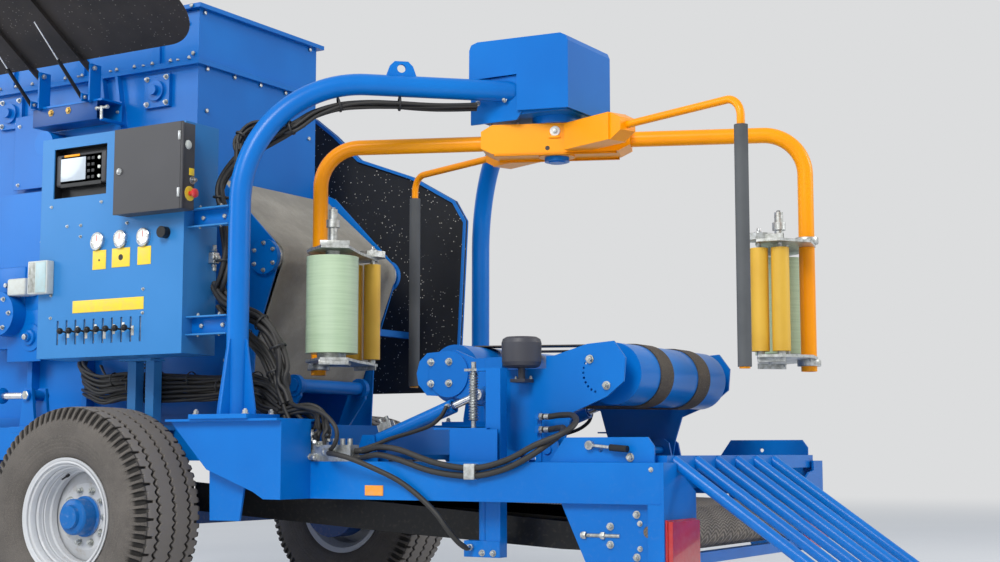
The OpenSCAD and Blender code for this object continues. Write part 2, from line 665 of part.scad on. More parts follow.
ramp_y = [825, -345];
ramp_d = 54;
ramp_x = -1040;
module ramp() color(machine_blue) at_axis() {
    step = (ramp_y[1] - ramp_y[0]) / (ramp_tubes - 1);
    top = rail_top;
    run = rear_reach + ramp_x - ramp_d / 2 * sin(ramp_drop);
    // Cross beam between the rails and the tubes that slope down from it
    block([ramp_x, -rail_in, 815], [ramp_x + 56, rail_in, rail_top + 30]);
    for (k = [0 : ramp_tubes - 1]) translate([ramp_x, ramp_y[0] + k * step, top])
        rotate([0, -90 - ramp_drop, 0]) translate([0, 0, -12]) difference() {
            cylinder(d = ramp_d, h = 12 + run / cos(ramp_drop), $fn = fine);
            translate([0, 0, 12 + plate]) cylinder(d = ramp_d - 2 * tube_wall, h = 2 * run, $fn = fine);
        }
}

module rear_lamps() color([0.75, 0.03, 0.05]) at_axis() both_sides() {
    block([tail_face - 32, 694, 400], [tail_face, 978, 600]);
    block([tail_face - 10, 686, 395], [tail_face, 986, 606]);
}

lift_x = 1485;
module transfer_lift() color(machine_blue) at_axis() {
    // Swinging tube that lifts a bale onto the table, on two feet over a cross beam
    cross_rod(lift_x, 1260, -330, 330, 76);
    both_sides() {
        side_plate([[1440, 1200], [1440, 1300], [1530, 1300], [1600, 1130], [1640, frame_top],
                    [1565, frame_top]], 292, 16);
        cross_rod(lift_x, 1260, 284, 316, 120);
    }
}

module crumb_conveyor() color([0.1, 0.1, 0.1]) at_axis() both_sides() {
    // Side members with a tab that hangs from a cross beam
    side_plate([[1880, 582], [1880, 735], [1645, 718], [1645, frame_low + 30], [1565, frame_low + 30],
                [1565, 712], [541, 640], [-376, 576], [-840, 560], [-840, 440], [-376, 447], [541, 497]],
               crumb_y + 2, 10);
}

module crumb_belt() color([0.12, 0.11, 0.1]) at_axis() {
    difference() {
        cross_rod(crumb_rear[0], crumb_rear[1], -crumb_y, crumb_y, crumb_d[0]);
        cross_rod(crumb_rear[0], crumb_rear[1], 20 - crumb_y, crumb_y - 20, crumb_d[0] - 30);
    }
    cross_rod(crumb_rear[0], crumb_rear[1], -956, 956, 50);
    cross_rod(crumb_front[0], crumb_front[1], -crumb_y - 2, crumb_y + 2, crumb_d[1]);
    // Upper and lower run
    for (s = [-1, 1]) side_plate([
        crumb_front + [0, s * crumb_d[1] / 2], crumb_front + [0, s * (crumb_d[1] / 2 - 8)],
        crumb_rear + [0, s * (crumb_d[0] / 2 - 8)], crumb_rear + [0, s * crumb_d[0] / 2]],
        -crumb_y, 2 * crumb_y);
}

// Chamber's rollers as X, Z and diameter; the belt runs over the first three
rollers = [[1490, 1945, 178], [1700, 1350, 140], [1940, 2360, 130], [2160, 1150, 130], [2600, 1150, 130]];
module chamber() color(machine_blue) at_axis() {
    wall = [[1580, frame_top], [3620, frame_top], [3620, chamber_top], [2040, chamber_top], [1990, 2500],
            [1860, chamber_top], [1440, 2030], [1400, 1960], [1430, 1860], [1560, 1500]];
    both_sides() {
        side_plate(wall, wall_y, wall_t);
        translate([0, wall_y + wall_t, 0]) {
            // Bearing flanges of the chamber's rollers
            for (p = [[1490, 1945, 190], [1700, 1350, 160], [1940, 2360, 150]])
                cross_rod(p[0], p[1], 0, 26, p[2]);
            // Stiffening ribs on the wall
            for (x = [2300, 2750, 3200])
                block([x, 0, frame_top], [x + 40, rib_y - wall_y - wall_t, chamber_top]);
            block([1700, 0, frame_top], [3620, 50, frame_top + 60]);
        }
    }
    // Front wall, floor, and the strips of the roof beside the throat
    block([3612, -wall_y, frame_top], [3620, wall_y, chamber_top]);
    block([1700, -wall_y, frame_top], [3612, wall_y, frame_top + plate]);
    block([2050, -wall_y, chamber_top - plate], [2200, wall_y, chamber_top]);
    block([3440, -wall_y, chamber_top - plate], [3620, wall_y, chamber_top]);
}

module chamber_rollers() color([0.25, 0.25, 0.26]) at_axis()
    for (p = rollers) cross_rod(p[0], p[1], -wall_y, wall_y, p[2]);

module chamber_belt() color([0.14, 0.13, 0.12]) at_axis() translate([0, wall_y - 20, 0])
    rotate([90, 0, 0]) linear_extrude(chamber_w - 40) difference() {
        belt_run(belt_t);
        belt_run(0);
    }
module belt_run(t) for (pair = [[0, 2], [0, 1]]) hull() for (i = pair)
    translate([rollers[i][0], rollers[i][1]])
        circle((rollers[i][2] / 2 + fit + t) / cos(180 / sides), $fn = sides);

module feed_housing() color(machine_blue) at_axis() difference() {
    union() {
        block([2020, -house_y, chamber_top], [3860, house_y, house_top]);
        // Slanting ribs, an upper flange and a lower one that stands on the chamber's walls
        both_sides() for (x = [2500, 2620]) side_plate([[x, chamber_top], [x + 20, chamber_top],
                     [x + 130, house_top - 20], [x + 110, house_top - 20]], house_y, 40);
        block([1990, -house_y - 32, house_top - 20], [intake_x, house_y + 32, house_top]);
        block([2044, -wall_y - wall_t, chamber_top], [3640, wall_y + wall_t, chamber_top + plate]);
    }
    block([2028, plate - house_y, chamber_top - 10], [3852, house_y - plate, house_top + 10]);
    for (x = shaft_at) cross_rod(x, shaft_z, -house_y - 1, house_y + 1, 60 + gap);
}

module hopper() color(machine_blue) at_axis() difference() {
    union() {
        block([2020, -house_y, house_top], [3860, house_y, hopper_top]);
        block([1985, -house_y - 35, hopper_top - 25], [intake_x, house_y + 35, hopper_top]);
        block([1990, -house_y - 32, house_top], [3890, house_y + 32, house_top + 12]);
        // Folded ribs on the near and far sides
        both_sides() for (x = [2300, 2900, 3500])
            block([x, house_y, house_top + 12], [x + 60, house_y + 20, hopper_top - 25]);
    }
    block([2028, plate - house_y, house_top - 10], [3852, house_y - plate, hopper_top + 10]);
    // Mouth at the front where the intake conveyor drops its load
    block([3800, -430, house_top + 12], [intake_x + 10, 430, house_top + 250]);
}

module metering_shafts() color([0.15, 0.35, 0.75]) at_axis() for (x = shaft_at) {
    cross_rod(x, shaft_z, -610, 610, 60);
    both_sides() translate([x, house_y, shaft_z]) {
        translate([-95, 0, -95]) cube([190, 26, 190]);
        rotate([-90, 0, 0]) cylinder(d = 120, h = 44, $fn = fine);
    }
    cross_rod(x, shaft_z, 20 - house_y, house_y - 20, 160);
}

guard_y = 1000;
module side_guard() color(near_black) at_axis() mirror([0, 1, 0]) {
    outline = [[2380, 3080], [2210, 2950], [2010, 2770], [1600, 2620], [1280, 2440], [1200, 2310],
               [1240, 1550], [1300, 1340], [1420, 1260], [2380, 1260]];
    side_plate(outline, guard_y, 6);
    // Rim along the edge and the arms that hold the sheet off the chamber
    color(machine_blue) for (i = [0 : len(outline) - 3])
        hull() for (p = [outline[i], outline[i + 1]])
            translate([p.x, guard_y + 3, p.y]) cube([14, 40, 14], center = true);
    color(machine_blue) block([1600, wall_y + wall_t, 1600], [1640, guard_y, 1640]);
    color(machine_blue) for (z = [1400, 2200]) block([2300, rib_y, z], [2340, guard_y, z + 40]);
}

module intake() color(machine_blue) at_axis() {
    // Inclined housing of the feed conveyor, and the trough that is loaded at its lower end
    both_sides() {
        side_plate([[intake_x, house_top - 100], [intake_x, hopper_top + 50], [3990, hopper_top + 50],
                    [5380, 1500], [5380, 1060], [5120, 1060], [3990, house_top - 400]], intake_y, plate);
        side_plate([[4900, 1060], [5500, 1060], [5706, 1700], [4400, 1700]], 617, 6);
        block([4500, intake_y + plate, 1000], [5400, 617, 1070]);
        // Legs on the front cross beam
        side_plate([[3925, frame_top], [3985, frame_top], [4320, 2350], [4260, 2350]], intake_y - 20, 60);
    }
    side_plate([[5494, 1060], [5500, 1060], [5706, 1700], [5700, 1700]], -623, 1246);
    block([5380, -617, 1060], [5499, 617, 1068]);
}

conveyor_low = [5200, 1180];
conveyor_top = [4000, house_top - 150];
conveyor_drum = 150;
slats = 16;
module intake_belt() color([0.12, 0.11, 0.1]) at_axis() {
    run = conveyor_top - conveyor_low;
    climb = atan2(run[1], run[0]);
    for (p = [conveyor_low, conveyor_top]) {
        cross_rod(p[0], p[1], 20 - intake_y, intake_y - 20, conveyor_drum);
        cross_rod(p[0], p[1], -intake_y, intake_y, 40);
    }
    // Upper and lower run, slats across the upper one
    translate([conveyor_low[0], 0, conveyor_low[1]]) rotate([0, -climb, 0]) {
        for (s = [-1, 1]) translate([0, 26 - intake_y, s * conveyor_drum / 2 - 4])
            cube([norm(run), 2 * (intake_y - 26), 8]);
        for (k = [0 : slats - 1]) translate([norm(run) * (k + 0.5) / slats - 10, 26 - intake_y,
            -conveyor_drum / 2 - 44]) cube([20, 2 * (intake_y - 26), 42]);
    }
}

module drive_side() color(machine_blue) at_axis() {
    // Chain case on the ribs of the chamber's left wall
    block([2700, rib_y, 1500], [3560, rib_y + 85, 2420]);
    cross_rod(3300, 1700, rib_y + 85, rib_y + 185, 260);
    cross_rod(2900, 2100, rib_y + 85, rib_y + 165, 180);
    // Panel on the feed housing's ribs that carries the hood
    side_plate([[2560, 2470], [3440, 2470], [3440, shelf_z + 20], [2560, shelf_z + 20]], house_y + 40, plate);
    cross_rod(3050, shelf_z - 200, house_y + 40, 720, 150);
    // Clevis on the main frame
    block([2700, beam_out, 1000], [2960, rail_y, frame_top]);
    for (y = [850, 950]) side_plate([[2780, frame_top], [2900, frame_top], [2870, 1250], [2810, 1250]], y, 20);
    cross_rod(2840, 1210, 840, rail_y, 60);
    // Shelf with the hood's hinge posts and the ears of its struts
    block([2560, house_y + 40, shelf_z], [3140, 744, shelf_z + 12]);
    for (x = hood_arms) {
        difference() {
            block([x - 12, 690, shelf_z], [x, hinge_y + 26, hinge_z + 26]);
            rod([x - 20, hinge_y, hinge_z], [x + 10, hinge_y, hinge_z], 20 + 2 * fit);
        }
        difference() {
            block([x + 28, 744, hinge_z + strut_foot[1] - 22], [x + 34, hinge_y + strut_foot[0] + 20,
                  hinge_z + strut_foot[1] + 22]);
            rod([x + 20, hinge_y + strut_foot[0], hinge_z + strut_foot[1]],
                [x + 40, hinge_y + strut_foot[0], hinge_z + strut_foot[1]], 10 + 2 * fit);
        }
    }
}

// Lever slots along the cabinet's lower edge
function lever_x(k) = 1785 + 66 * k;
module cabinet() color([0.12, 0.38, 0.8]) at_axis() difference() {
    union() {
        block([1500, 950, 1390], [2530, panel_y, 2580]);
        // Support posts on the chassis and ties to the near arch
        for (x = [1950, 2080]) block([x, 855, frame_top], [x + 60, 915, 1380]);
        block([1930, 855, 1378], [2160, 960, 1390]);
        block([1900, beam_out, 1010], [2200, 920, frame_top]);
        for (z = [1480, 1570, 2030, 2120])
            block([leg_x + arch_d / 2 + fit, 1120, z], [1501, 1172, z + 8]);
    }
    block([1508, 940, 1398], [2522, panel_y - plate, 2572]);
    // Recess window of the terminal
    block([2050, 1180, 2250], [2440, 1210, 2520]);
    for (k = [0 : 9]) block([lever_x(k) - 7, 1180, 1460], [lever_x(k) + 7, 1210, 1590]);
}

module panel_fittings() color(near_black) at_axis() {
    back = panel_y - plate;
    // Terminal in the tray of its recess
    difference() {
        block([2042, 1130, 2242], [2448, back, 2528]);
        block([2050, 1138, 2250], [2440, back + 1, 2520]);
    }
    block([2100, 1138, 2310], [2400, back - 4, 2480]);
    // Pressure gauges
    color(zinc) for (x = [1770, 1930, 2100]) cross_rod(x, 1990, panel_y, panel_y + 16, 80);
    // Levers with ball knobs on the plate behind their slots
    for (k = [1 : 8]) {
        rod([lever_x(k), back - 1, 1525], [lever_x(k), 1245, 1530], 10);
        translate([lever_x(k), 1245, 1530]) sphere(d = 34, $fn = 20);
    }
    color(zinc) block([1765, back - 8, 1450], [2400, back, 1600]);
    // Round knob, and the light-grey reader at the front edge
    cross_rod(1620, 2010, panel_y, 1240, 60);
    color([0.75, 0.78, 0.76]) block([2420, panel_y, 1740], [2560, 1250, 1910]);
}

box_x = [1437, 1890];
box_face = 1290;
module electric_box() color([0.2, 0.2, 0.21]) at_axis() difference() {
    block([box_x[0], panel_y, 2110], [box_x[1], box_face, 2550]);
    block([box_x[0] + 6, panel_y + 9, 2116], [box_x[1] - 6, box_face + 10, 2544]);
}

module box_door() color([0.2, 0.2, 0.21]) at_axis() {
    block([box_x[0], box_face + fit, 2108], [box_x[1] + 2, 1306, 2552]);
    rod([door_x - 4, 1299, 2108], [door_x - 4, 1299, 2552], 14);
    color(zinc) cross_rod(box_x[1] - 40, 2330, 1306, 1314, 34);
}

hood_x = [1720, 3760];
module hood() color(near_black) at_axis() translate([0, hinge_y, hinge_z]) rotate([hood_rise, 0, 0]) {
    // Panel in hinge coordinates: Y runs outward from the hinge, Z stands off the panel
    difference() {
        block([hood_x[0], 70, 0], [hood_x[1], 660, 6]);
        translate([hood_x[0], 70, -5]) difference() {
            cube([260, 260, 20]);
            translate([260, 260, -1]) cylinder(r = 260, h = 22, $fn = 64);
        }
    }
    block([hood_x[0] + 4, 654, -40], [hood_x[1], 660, 0]);
    for (x = hood_arms) {
        difference() {
            block([x + 4, -24, -24], [x + 16, 640, 16]);
            block([x, 60, 6], [x + 20, 650, 30]);
        }
        rod([x - 16, 0, 0], [x + 20, 0, 0], 20);
    }
}

strut_way = (strut_eye - strut_foot) / norm(strut_eye - strut_foot);
function strut_at(x, along) = [x, strut_foot[0] + strut_way[0] * along, strut_foot[1] + strut_way[1] * along];
module hood_struts() color(near_black) at_axis() translate([0, hinge_y, hinge_z])
    for (x = hood_arms) {
        difference() {
            rod(strut_at(x + 47, 0), strut_at(x + 47, 262), 22);
            rod(strut_at(x + 47, 14), strut_at(x + 47, 270), 16);
        }
        rod([x + 28, strut_foot[0], strut_foot[1]], [x + 47, strut_foot[0], strut_foot[1]], 10);
    }

module strut_rods() color(zinc) at_axis() translate([0, hinge_y, hinge_z])
    for (x = hood_arms) {
        rod(strut_at(x + 47, 238), strut_at(x + 47, norm(strut_eye - strut_foot)), 10);
        rod(strut_at(x + 47, 238), strut_at(x + 47, 252), 15.4);
    }

valve_x = [600, 820];
valve_y = [915, 985];
module manifold() color(zinc) at_axis() {
    block([valve_x[0], valve_y[0], rail_top], [valve_x[1], valve_y[1], rail_top + 80]);
    for (x = [valve_x[0] + 20 : 45 : valve_x[1] - 80])
        rod([x, valve_y[1] - 25, rail_top + 70], [x, valve_y[1] - 25, rail_top + 110], 26);
}

// Routes of the hoses, each held along the frame
bundle_route = [[1243, 1082, 2450], [1243, 1082, 2100], [1243, 1082, 1700], [1243, 1082, 1400],
                [1237, 1058, 1300], [1225, 1010, 1200], [1160, 975, 1125], [1040, 970, 1094],
                [940, 965, 1104], [855, 960, 1106], [800, 953, 1075], [780, 950, 1010], [780, 950, 970],
                [780, 950, 930]];
table_route = [[-290, 702, 1060], [-315, 702, 1060], [-340, 702, 1060], [-410, 715, 1066],
               [-500, 765, 1062], [-565, 860, 1030], [-555, 955, 980], [-434, 1005, 925],
               [-293, 1010, 860], [-113, 1010, 822], [90, 1010, 845], [293, 1010, 905],
               [430, 982, 918], [540, 945, 900], [570, 945, 900], [600, 945, 900]];
second_route = [[-290, 702, 1000], [-315, 702, 1000], [-340, 702, 1000], [-400, 725, 1006],
                [-465, 790, 1004], [-500, 885, 975], [-470, 980, 920], [-380, 1010, 860],
                [-260, 1010, 812], [-100, 1010, 786], [110, 1010, 806], [300, 1012, 860],
                [430, 995, 882], [540, 958, 870], [570, 958, 870], [600, 958, 870]];
cutter_route = [[700, 985, 890], [700, 1002, 890], [700, 1020, 890], [672, 1056, 889],
                [600, 1082, 882], [520, 1080, 862], [420, 1055, 822], [300, 1020, 765],
                [190, 1010, 695], [90, 1005, 612], [40, 992, 545], [5, 955, 485], [-10, 908, 455],
                [-10, 884, 455], [-10, 860, 455]];
module hose_bundle() color(near_black) at_axis() hose(bundle_route, 60);
module hose_table() color(near_black) at_axis() { hose(table_route, 28); hose(second_route, 28); }
module hose_cutter() color(near_black) at_axis() hose(cutter_route, 26);

main_frame();
rails();
rear_beam();
axle();
drawbar();
parking_jack();
power_input();
rim_left();
rim_right();
tyre_left();
tyre_right();
arch_left();
arch_right();
head_drive();
head_cover();
rotor_beam();
rotor_arms();
safety_bars();
bar_sleeves();
film_holders();
film_rolls();
stretch_rollers();
table_frame();
table_rollers();
table_belts();
side_rollers();
tilt_barrel_left();
tilt_barrel_right();
tilt_rod_left();
tilt_rod_right();
film_cutters();
rear_brackets();
ramp();
rear_lamps();
transfer_lift();
crumb_conveyor();
crumb_belt();
chamber();
chamber_belt();
chamber_rollers();
feed_housing();
hopper();
metering_shafts();
side_guard();
intake();
intake_belt();
drive_side();
cabinet();
panel_fittings();
electric_box();
box_door();
hood();
hood_struts();
strut_rods();
manifold();
hose_bundle();
hose_table();
hose_cutter();
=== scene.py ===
import math
import bmesh
import bpy
from mathutils import Matrix, Vector


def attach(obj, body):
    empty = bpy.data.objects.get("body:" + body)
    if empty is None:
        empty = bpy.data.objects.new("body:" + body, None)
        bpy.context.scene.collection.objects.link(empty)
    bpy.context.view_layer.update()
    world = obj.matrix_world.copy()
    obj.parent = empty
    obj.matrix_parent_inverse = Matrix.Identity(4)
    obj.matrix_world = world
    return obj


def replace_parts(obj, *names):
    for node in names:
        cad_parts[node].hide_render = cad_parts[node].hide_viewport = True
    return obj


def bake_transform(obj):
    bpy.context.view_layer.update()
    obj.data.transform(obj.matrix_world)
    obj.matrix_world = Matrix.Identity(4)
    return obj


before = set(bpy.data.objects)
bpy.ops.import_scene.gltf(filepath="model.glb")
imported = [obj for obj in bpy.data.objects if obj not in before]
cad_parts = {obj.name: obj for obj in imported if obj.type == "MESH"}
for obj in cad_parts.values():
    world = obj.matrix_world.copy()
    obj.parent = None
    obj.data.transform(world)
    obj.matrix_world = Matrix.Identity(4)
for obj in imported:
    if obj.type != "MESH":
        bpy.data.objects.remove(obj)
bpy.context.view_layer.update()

rotorPlace = 1.95  # the wrapping axis stands this far behind the row's origin


def spot(x, y, z):
    # millimetres from the wrapping axis to metres in the row's frame
    return Vector((x / 1000 - rotorPlace, y / 1000, z / 1000))


def onUnit(turn, x, y, z):
    # x out along a film unit's arm, which stands turned by so many degrees, and y across it
    c, s = math.cos(math.radians(turn)), math.sin(math.radians(turn))
    return (x * c - y * s, x * s + y * c, z)


def put(name, data):
    made = bpy.data.objects.new(name, data)
    bpy.context.scene.collection.objects.link(made)
    return made


def aim(piece, place, ahead):
    piece.matrix_world = Matrix.Translation(place) @ ahead.to_track_quat("-Z", "Y").to_matrix().to_4x4()


# camera, first of all

view = {"place": (-5.90, 7.157, 0.895), "yaw": 31.0, "pitch": 6.2, "focal": 1575, "width": 1000}


def makeCamera(view):
    data = bpy.data.cameras.new("camera")
    data.sensor_width = 36
    data.lens = view["focal"] * data.sensor_width / view["width"]
    data.clip_end = 200
    yaw, pitch = math.radians(view["yaw"]), math.radians(view["pitch"])
    ahead = Vector((math.sin(yaw) * math.cos(pitch), -math.cos(yaw) * math.cos(pitch), math.sin(pitch)))
    camera = put("camera", data)
    aim(camera, view["place"], ahead)
    bpy.context.scene.camera = camera


makeCamera(view)


# trees of nodes, for finishes and for repeated pieces

class Wire:
    # an output socket that can be added, multiplied and so on, with numbers on either side
    def __init__(self, owner, socket):
        self.owner, self.socket = owner, socket

    def math(self, operation, *values):
        return self.owner.node("ShaderNodeMath", {"operation": operation}, dict(enumerate(values)))

    __add__ = lambda self, other: self.math("ADD", self, other)
    __radd__ = lambda self, other: self.math("ADD", other, self)
    __sub__ = lambda self, other: self.math("SUBTRACT", self, other)
    __rsub__ = lambda self, other: self.math("SUBTRACT", other, self)
    __mul__ = lambda self, other: self.math("MULTIPLY", self, other)
    __rmul__ = lambda self, other: self.math("MULTIPLY", other, self)
    __truediv__ = lambda self, other: self.math("DIVIDE", self, other)
    __rtruediv__ = lambda self, other: self.math("DIVIDE", other, self)
    __pow__ = lambda self, other: self.math("POWER", self, other)
    __rpow__ = lambda self, other: self.math("POWER", other, self)

    def step(self, low, high):
        # 0 below low, 1 above high, smooth between
        return self.owner.node("ShaderNodeMapRange", {"interpolation_type": "SMOOTHSTEP"},
                               {"Value": self, "From Min": low, "From Max": high})

    def top(self, other):
        return self.math("MAXIMUM", self, other)

    def distance(self, other):
        return self.math("ABSOLUTE", self - other)

    def wave(self, period):
        # triangle wave from 0 to 1
        return self.math("PINGPONG", self, period / 2) / (period / 2)


class Tree:
    def __init__(self, tree):
        self.tree = tree

    def node(self, kind, settings=None, values=None, output=0):
        made = self.tree.nodes.new(kind)
        for key, value in (settings or {}).items():
            setattr(made, key, value)
        for key, value in (values or {}).items():
            for one in value if isinstance(value, list) else [value]:
                if isinstance(one, Wire):
                    self.tree.links.new(one.socket, made.inputs[key])
                else:
                    made.inputs[key].default_value = one
        return Wire(self, made.outputs[output]) if made.outputs else made


def colour(code):
    # colour as written on a screen, in the linear values that Blender takes
    parts = [int(code[i:i + 2], 16) / 255 for i in (0, 2, 4)]
    return tuple(p / 12.92 if p <= 0.04045 else ((p + 0.055) / 1.055) ** 2.4 for p in parts) + (1.0,)


class Finish(Tree):
    def __init__(self, name):
        self.material = bpy.data.materials.new(name)
        self.material.use_nodes = True
        super().__init__(self.material.node_tree)
        self.tree.nodes.clear()
        self.place = self.node("ShaderNodeTexCoord", output="Object")
        self.x, self.y, self.z = self.split(self.place)

    def split(self, vector):
        made = self.tree.nodes.new("ShaderNodeSeparateXYZ")
        self.tree.links.new(vector.socket, made.inputs[0])
        return [Wire(self, made.outputs[i]) for i in range(3)]

    def facingUp(self):
        return self.split(self.node("ShaderNodeNewGeometry", output="Normal"))[2]

    def stretched(self, scale):
        return self.node("ShaderNodeVectorMath", {"operation": "MULTIPLY"}, {0: self.place, 1: scale})

    def noise(self, scale, detail=3, roughness=0.5, place=None):
        return self.node("ShaderNodeTexNoise", {}, {
            "Vector": place or self.place, "Scale": scale, "Detail": detail, "Roughness": roughness})

    def cells(self, scale):
        return self.node("ShaderNodeTexVoronoi", {"feature": "F1"}, {"Vector": self.place, "Scale": scale})

    def mix(self, amount, first, second):
        return self.node("ShaderNodeMix", {"data_type": "RGBA"}, {0: amount, 6: first, 7: second}, output=2)

    def radius(self, centre, across=("x", "z")):
        # distance from a line that runs through centre
        one = getattr(self, across[0]) - centre[0]
        two = getattr(self, across[1]) - centre[1]
        return (one * one + two * two) ** 0.5

    def inside(self, boxes, soft=0.0006):
        # 1 in any of the boxes, whose corners are in millimetres from the wrapping axis
        zone = None
        for low, high in boxes:
            amount = 1.0
            for axis, p, q in zip((self.x, self.y, self.z), spot(*low), spot(*high)):
                amount = axis.step(p - soft, p + soft) * (1 - axis.step(q - soft, q + soft)) * amount
            zone = amount if zone is None else zone.top(amount)
        return zone

    def surface(self, base, roughness, height=None, strength=0.2, size=0.001, rounding=0.0, **fixed):
        values = {"Base Color": base, "Roughness": roughness}
        values.update({key.replace("_", " "): value for key, value in fixed.items()})
        normal = None
        if rounding:
            normal = self.node("ShaderNodeBevel", {"samples": 4}, {"Radius": rounding})
        if height is not None:
            bump = {"Height": height, "Strength": strength, "Distance": size}
            if normal:
                bump["Normal"] = normal
            normal = self.node("ShaderNodeBump", {}, bump)
        if normal:
            values["Normal"] = normal
        shade = self.node("ShaderNodeBsdfPrincipled", {}, values)
        self.node("ShaderNodeOutputMaterial", {}, {"Surface": shade})
        return self.material


dustColour = colour("A79A86")


def paint(name, code, dark, gloss=0.3, dusty=0.2, rounding=0.003, bare=(), black=(), hub=None):
    # bare and black: boxes where the same node shows zinc or black plastic; hub: middle and colour of a wheel's hub
    f = Finish(name)
    broad = f.noise(1.3, 3)
    grit = f.noise(46, 5, 0.6)
    skin = f.noise(420, 2)
    up = f.facingUp().step(0.4, 0.98)
    low = 1 - f.z.step(0.25, 1.0)
    dust = grit.step(0.5, 0.8) * (up * 0.6 + low * 0.35 + 0.03)
    base = f.mix(broad.step(0.3, 0.7), colour(code), colour(dark))
    if hub:
        reach = f.radius(hub[0])
        base = f.mix(1 - reach.step(0.1045, 0.1055), base, colour(hub[1]))
        ring = reach.distance(0.15).step(0.0, 0.09)
        dust = dust.top((1 - ring) * f.noise(13, 4, 0.65).step(0.5, 0.75) * 1.1)
    base = f.mix(dust * dusty, base, dustColour)
    rough = dust * 0.3 + skin * 0.04 + gloss
    fixed = {"Coat_Weight": 0.06, "Coat_Roughness": 0.1, "Specular_IOR_Level": 0.24}
    zinc = f.inside(bare)
    if zinc:
        base = f.mix(zinc, base, f.mix(f.noise(60, 3).step(0.3, 0.7), colour("C4C7C6"), colour("94979A")))
        fixed["Metallic"] = zinc * 0.85
    shut = f.inside(black)
    if shut:
        base = f.mix(shut, base, colour("1C1D1F"))
    return f.surface(base, rough, height=skin * 0.3 + f.noise(8, 2), strength=0.03, rounding=rounding, **fixed)


def metal(name, code, dark, roughness=0.32, grain=(1, 1, 1), rounding=0.0015):
    f = Finish(name)
    worn = f.noise(38, 4, 0.6)
    brushed = f.noise(160, 3, 0.5, f.stretched(grain))
    base = f.mix(worn.step(0.35, 0.7), colour(code), colour(dark))
    return f.surface(base, worn * 0.25 + roughness, height=brushed, strength=0.12, rounding=rounding, Metallic=0.9)


def plastic(name, code, dark, roughness=0.5, scale=900, strength=0.12, rounding=0.002, speckle=0.0, rim=None):
    # rim: side of the sheet and the distance beyond which its painted edge begins
    f = Finish(name)
    grain = f.noise(scale, 2)
    patch = f.noise(4, 3)
    base = f.mix(patch.step(0.35, 0.75), colour(code), colour(dark))
    if speckle:
        chaff = (1 - f.cells(42).step(0.10, 0.17)) * f.noise(3.2, 3).step(0.36, 0.56)
        base = f.mix(chaff * speckle, base, colour("DDD8CB"))
    if rim:
        base = f.mix(f.y.distance(rim[0]).step(rim[1], rim[1] + 0.001), base, colour("0071C8"))
    return f.surface(base, patch * 0.15 + roughness, height=grain, strength=strength, rounding=rounding)


def tyreRubber(name, axle):
    f = Finish(name)
    reach = f.radius((axle.x, axle.z))
    side = f.y.math("ABSOLUTE", f.y).distance(axle.y)
    fine = f.noise(300, 4, 0.6)
    patch = f.noise(6, 5, 0.65)
    tread = 1 - side.step(0.175, 0.200)
    # near-black in the grooves and in the pockets between the shoulder blocks: painted shade in the recesses
    grooveShade = (1 - reach.step(0.549, 0.5575)) * tread * reach.step(0.5, 0.52)
    pocket = side.step(0.18, 0.187) * reach.step(0.484, 0.51) * (1 - (side + reach * 0.45).step(0.4365, 0.4425))
    rings = reach.wave(0.02).step(0.40, 0.5) * (1 - reach.step(0.41, 0.42)) * reach.step(0.34, 0.35)
    base = f.mix(patch.step(0.3, 0.75), colour("494542"), colour("5C5753"))
    base = f.mix(fine.step(0.42, 0.7) * 0.5, base, colour("7C756C"))
    base = f.mix(tread * reach.step(0.556, 0.561) * 0.75, base, colour("86807A"))
    # painted shade in the grooves and pockets
    base = f.mix(grooveShade.top(pocket) * 0.94, base, colour("141211"))
    height = rings * 0.5 + fine * 0.2 + patch * 0.2
    return f.surface(base, patch * 0.12 + 0.74, height=height, strength=0.6, size=0.003)


def beltRubber(name, code, dark, chevrons=False, dusty=0.45):
    f = Finish(name)
    patch = f.noise(5, 5, 0.65)
    fine = f.noise(240, 3)
    base = f.mix(patch.step(0.35, 0.72), colour(code), colour(dark))
    base = f.mix(fine.step(0.5, 0.72) * dusty, base, colour("8C8272"))
    height = fine * 0.3
    if chevrons:
        # short raised bars that point along the belt
        bars = (f.x + f.y.wave(0.09) * 0.02 + f.z).wave(0.016).step(0.35, 0.6) * f.y.wave(0.018).step(0.15, 0.35)
        base = f.mix(bars * 0.7, base, colour("A3978A"))
        height = height + bars
    return f.surface(base, patch * 0.15 + 0.66, height=height, strength=0.5, size=0.003)


def filmRoll(name):
    f = Finish(name)
    layers = f.noise(14, 4, 0.6, f.stretched((0.25, 0.25, 9)))
    folds = f.noise(6, 3, 0.5, f.stretched((1, 1, 0.12)))
    base = f.mix(layers.step(0.3, 0.8), colour("B4CBA9"), colour("A3BC99"))
    base = f.mix(folds.step(0.5, 0.8) * 0.3, base, colour("CFDFC8"))
    return f.surface(base, folds * 0.15 + 0.3, height=layers * 0.4 + folds, strength=0.12, size=0.002,
                     Coat_Weight=0.4, Coat_Roughness=0.2)


def flat(name, code, roughness=0.4, dusty=0.25, **fixed):
    f = Finish(name)
    return f.surface(f.mix(f.noise(30, 4, 0.6).step(0.3, 0.75) * dusty, colour(code), dustColour),
                     f.noise(120, 2) * 0.1 + roughness, height=f.noise(600, 2), strength=0.06, **fixed)


wheel = {"x": 2110, "y": 1170, "z": 565, "blocks": 40, "zigzag": 0.012}
bothSides = ((1, "left"), (-1, "right"))
axle = spot(wheel["x"], wheel["y"], wheel["z"])

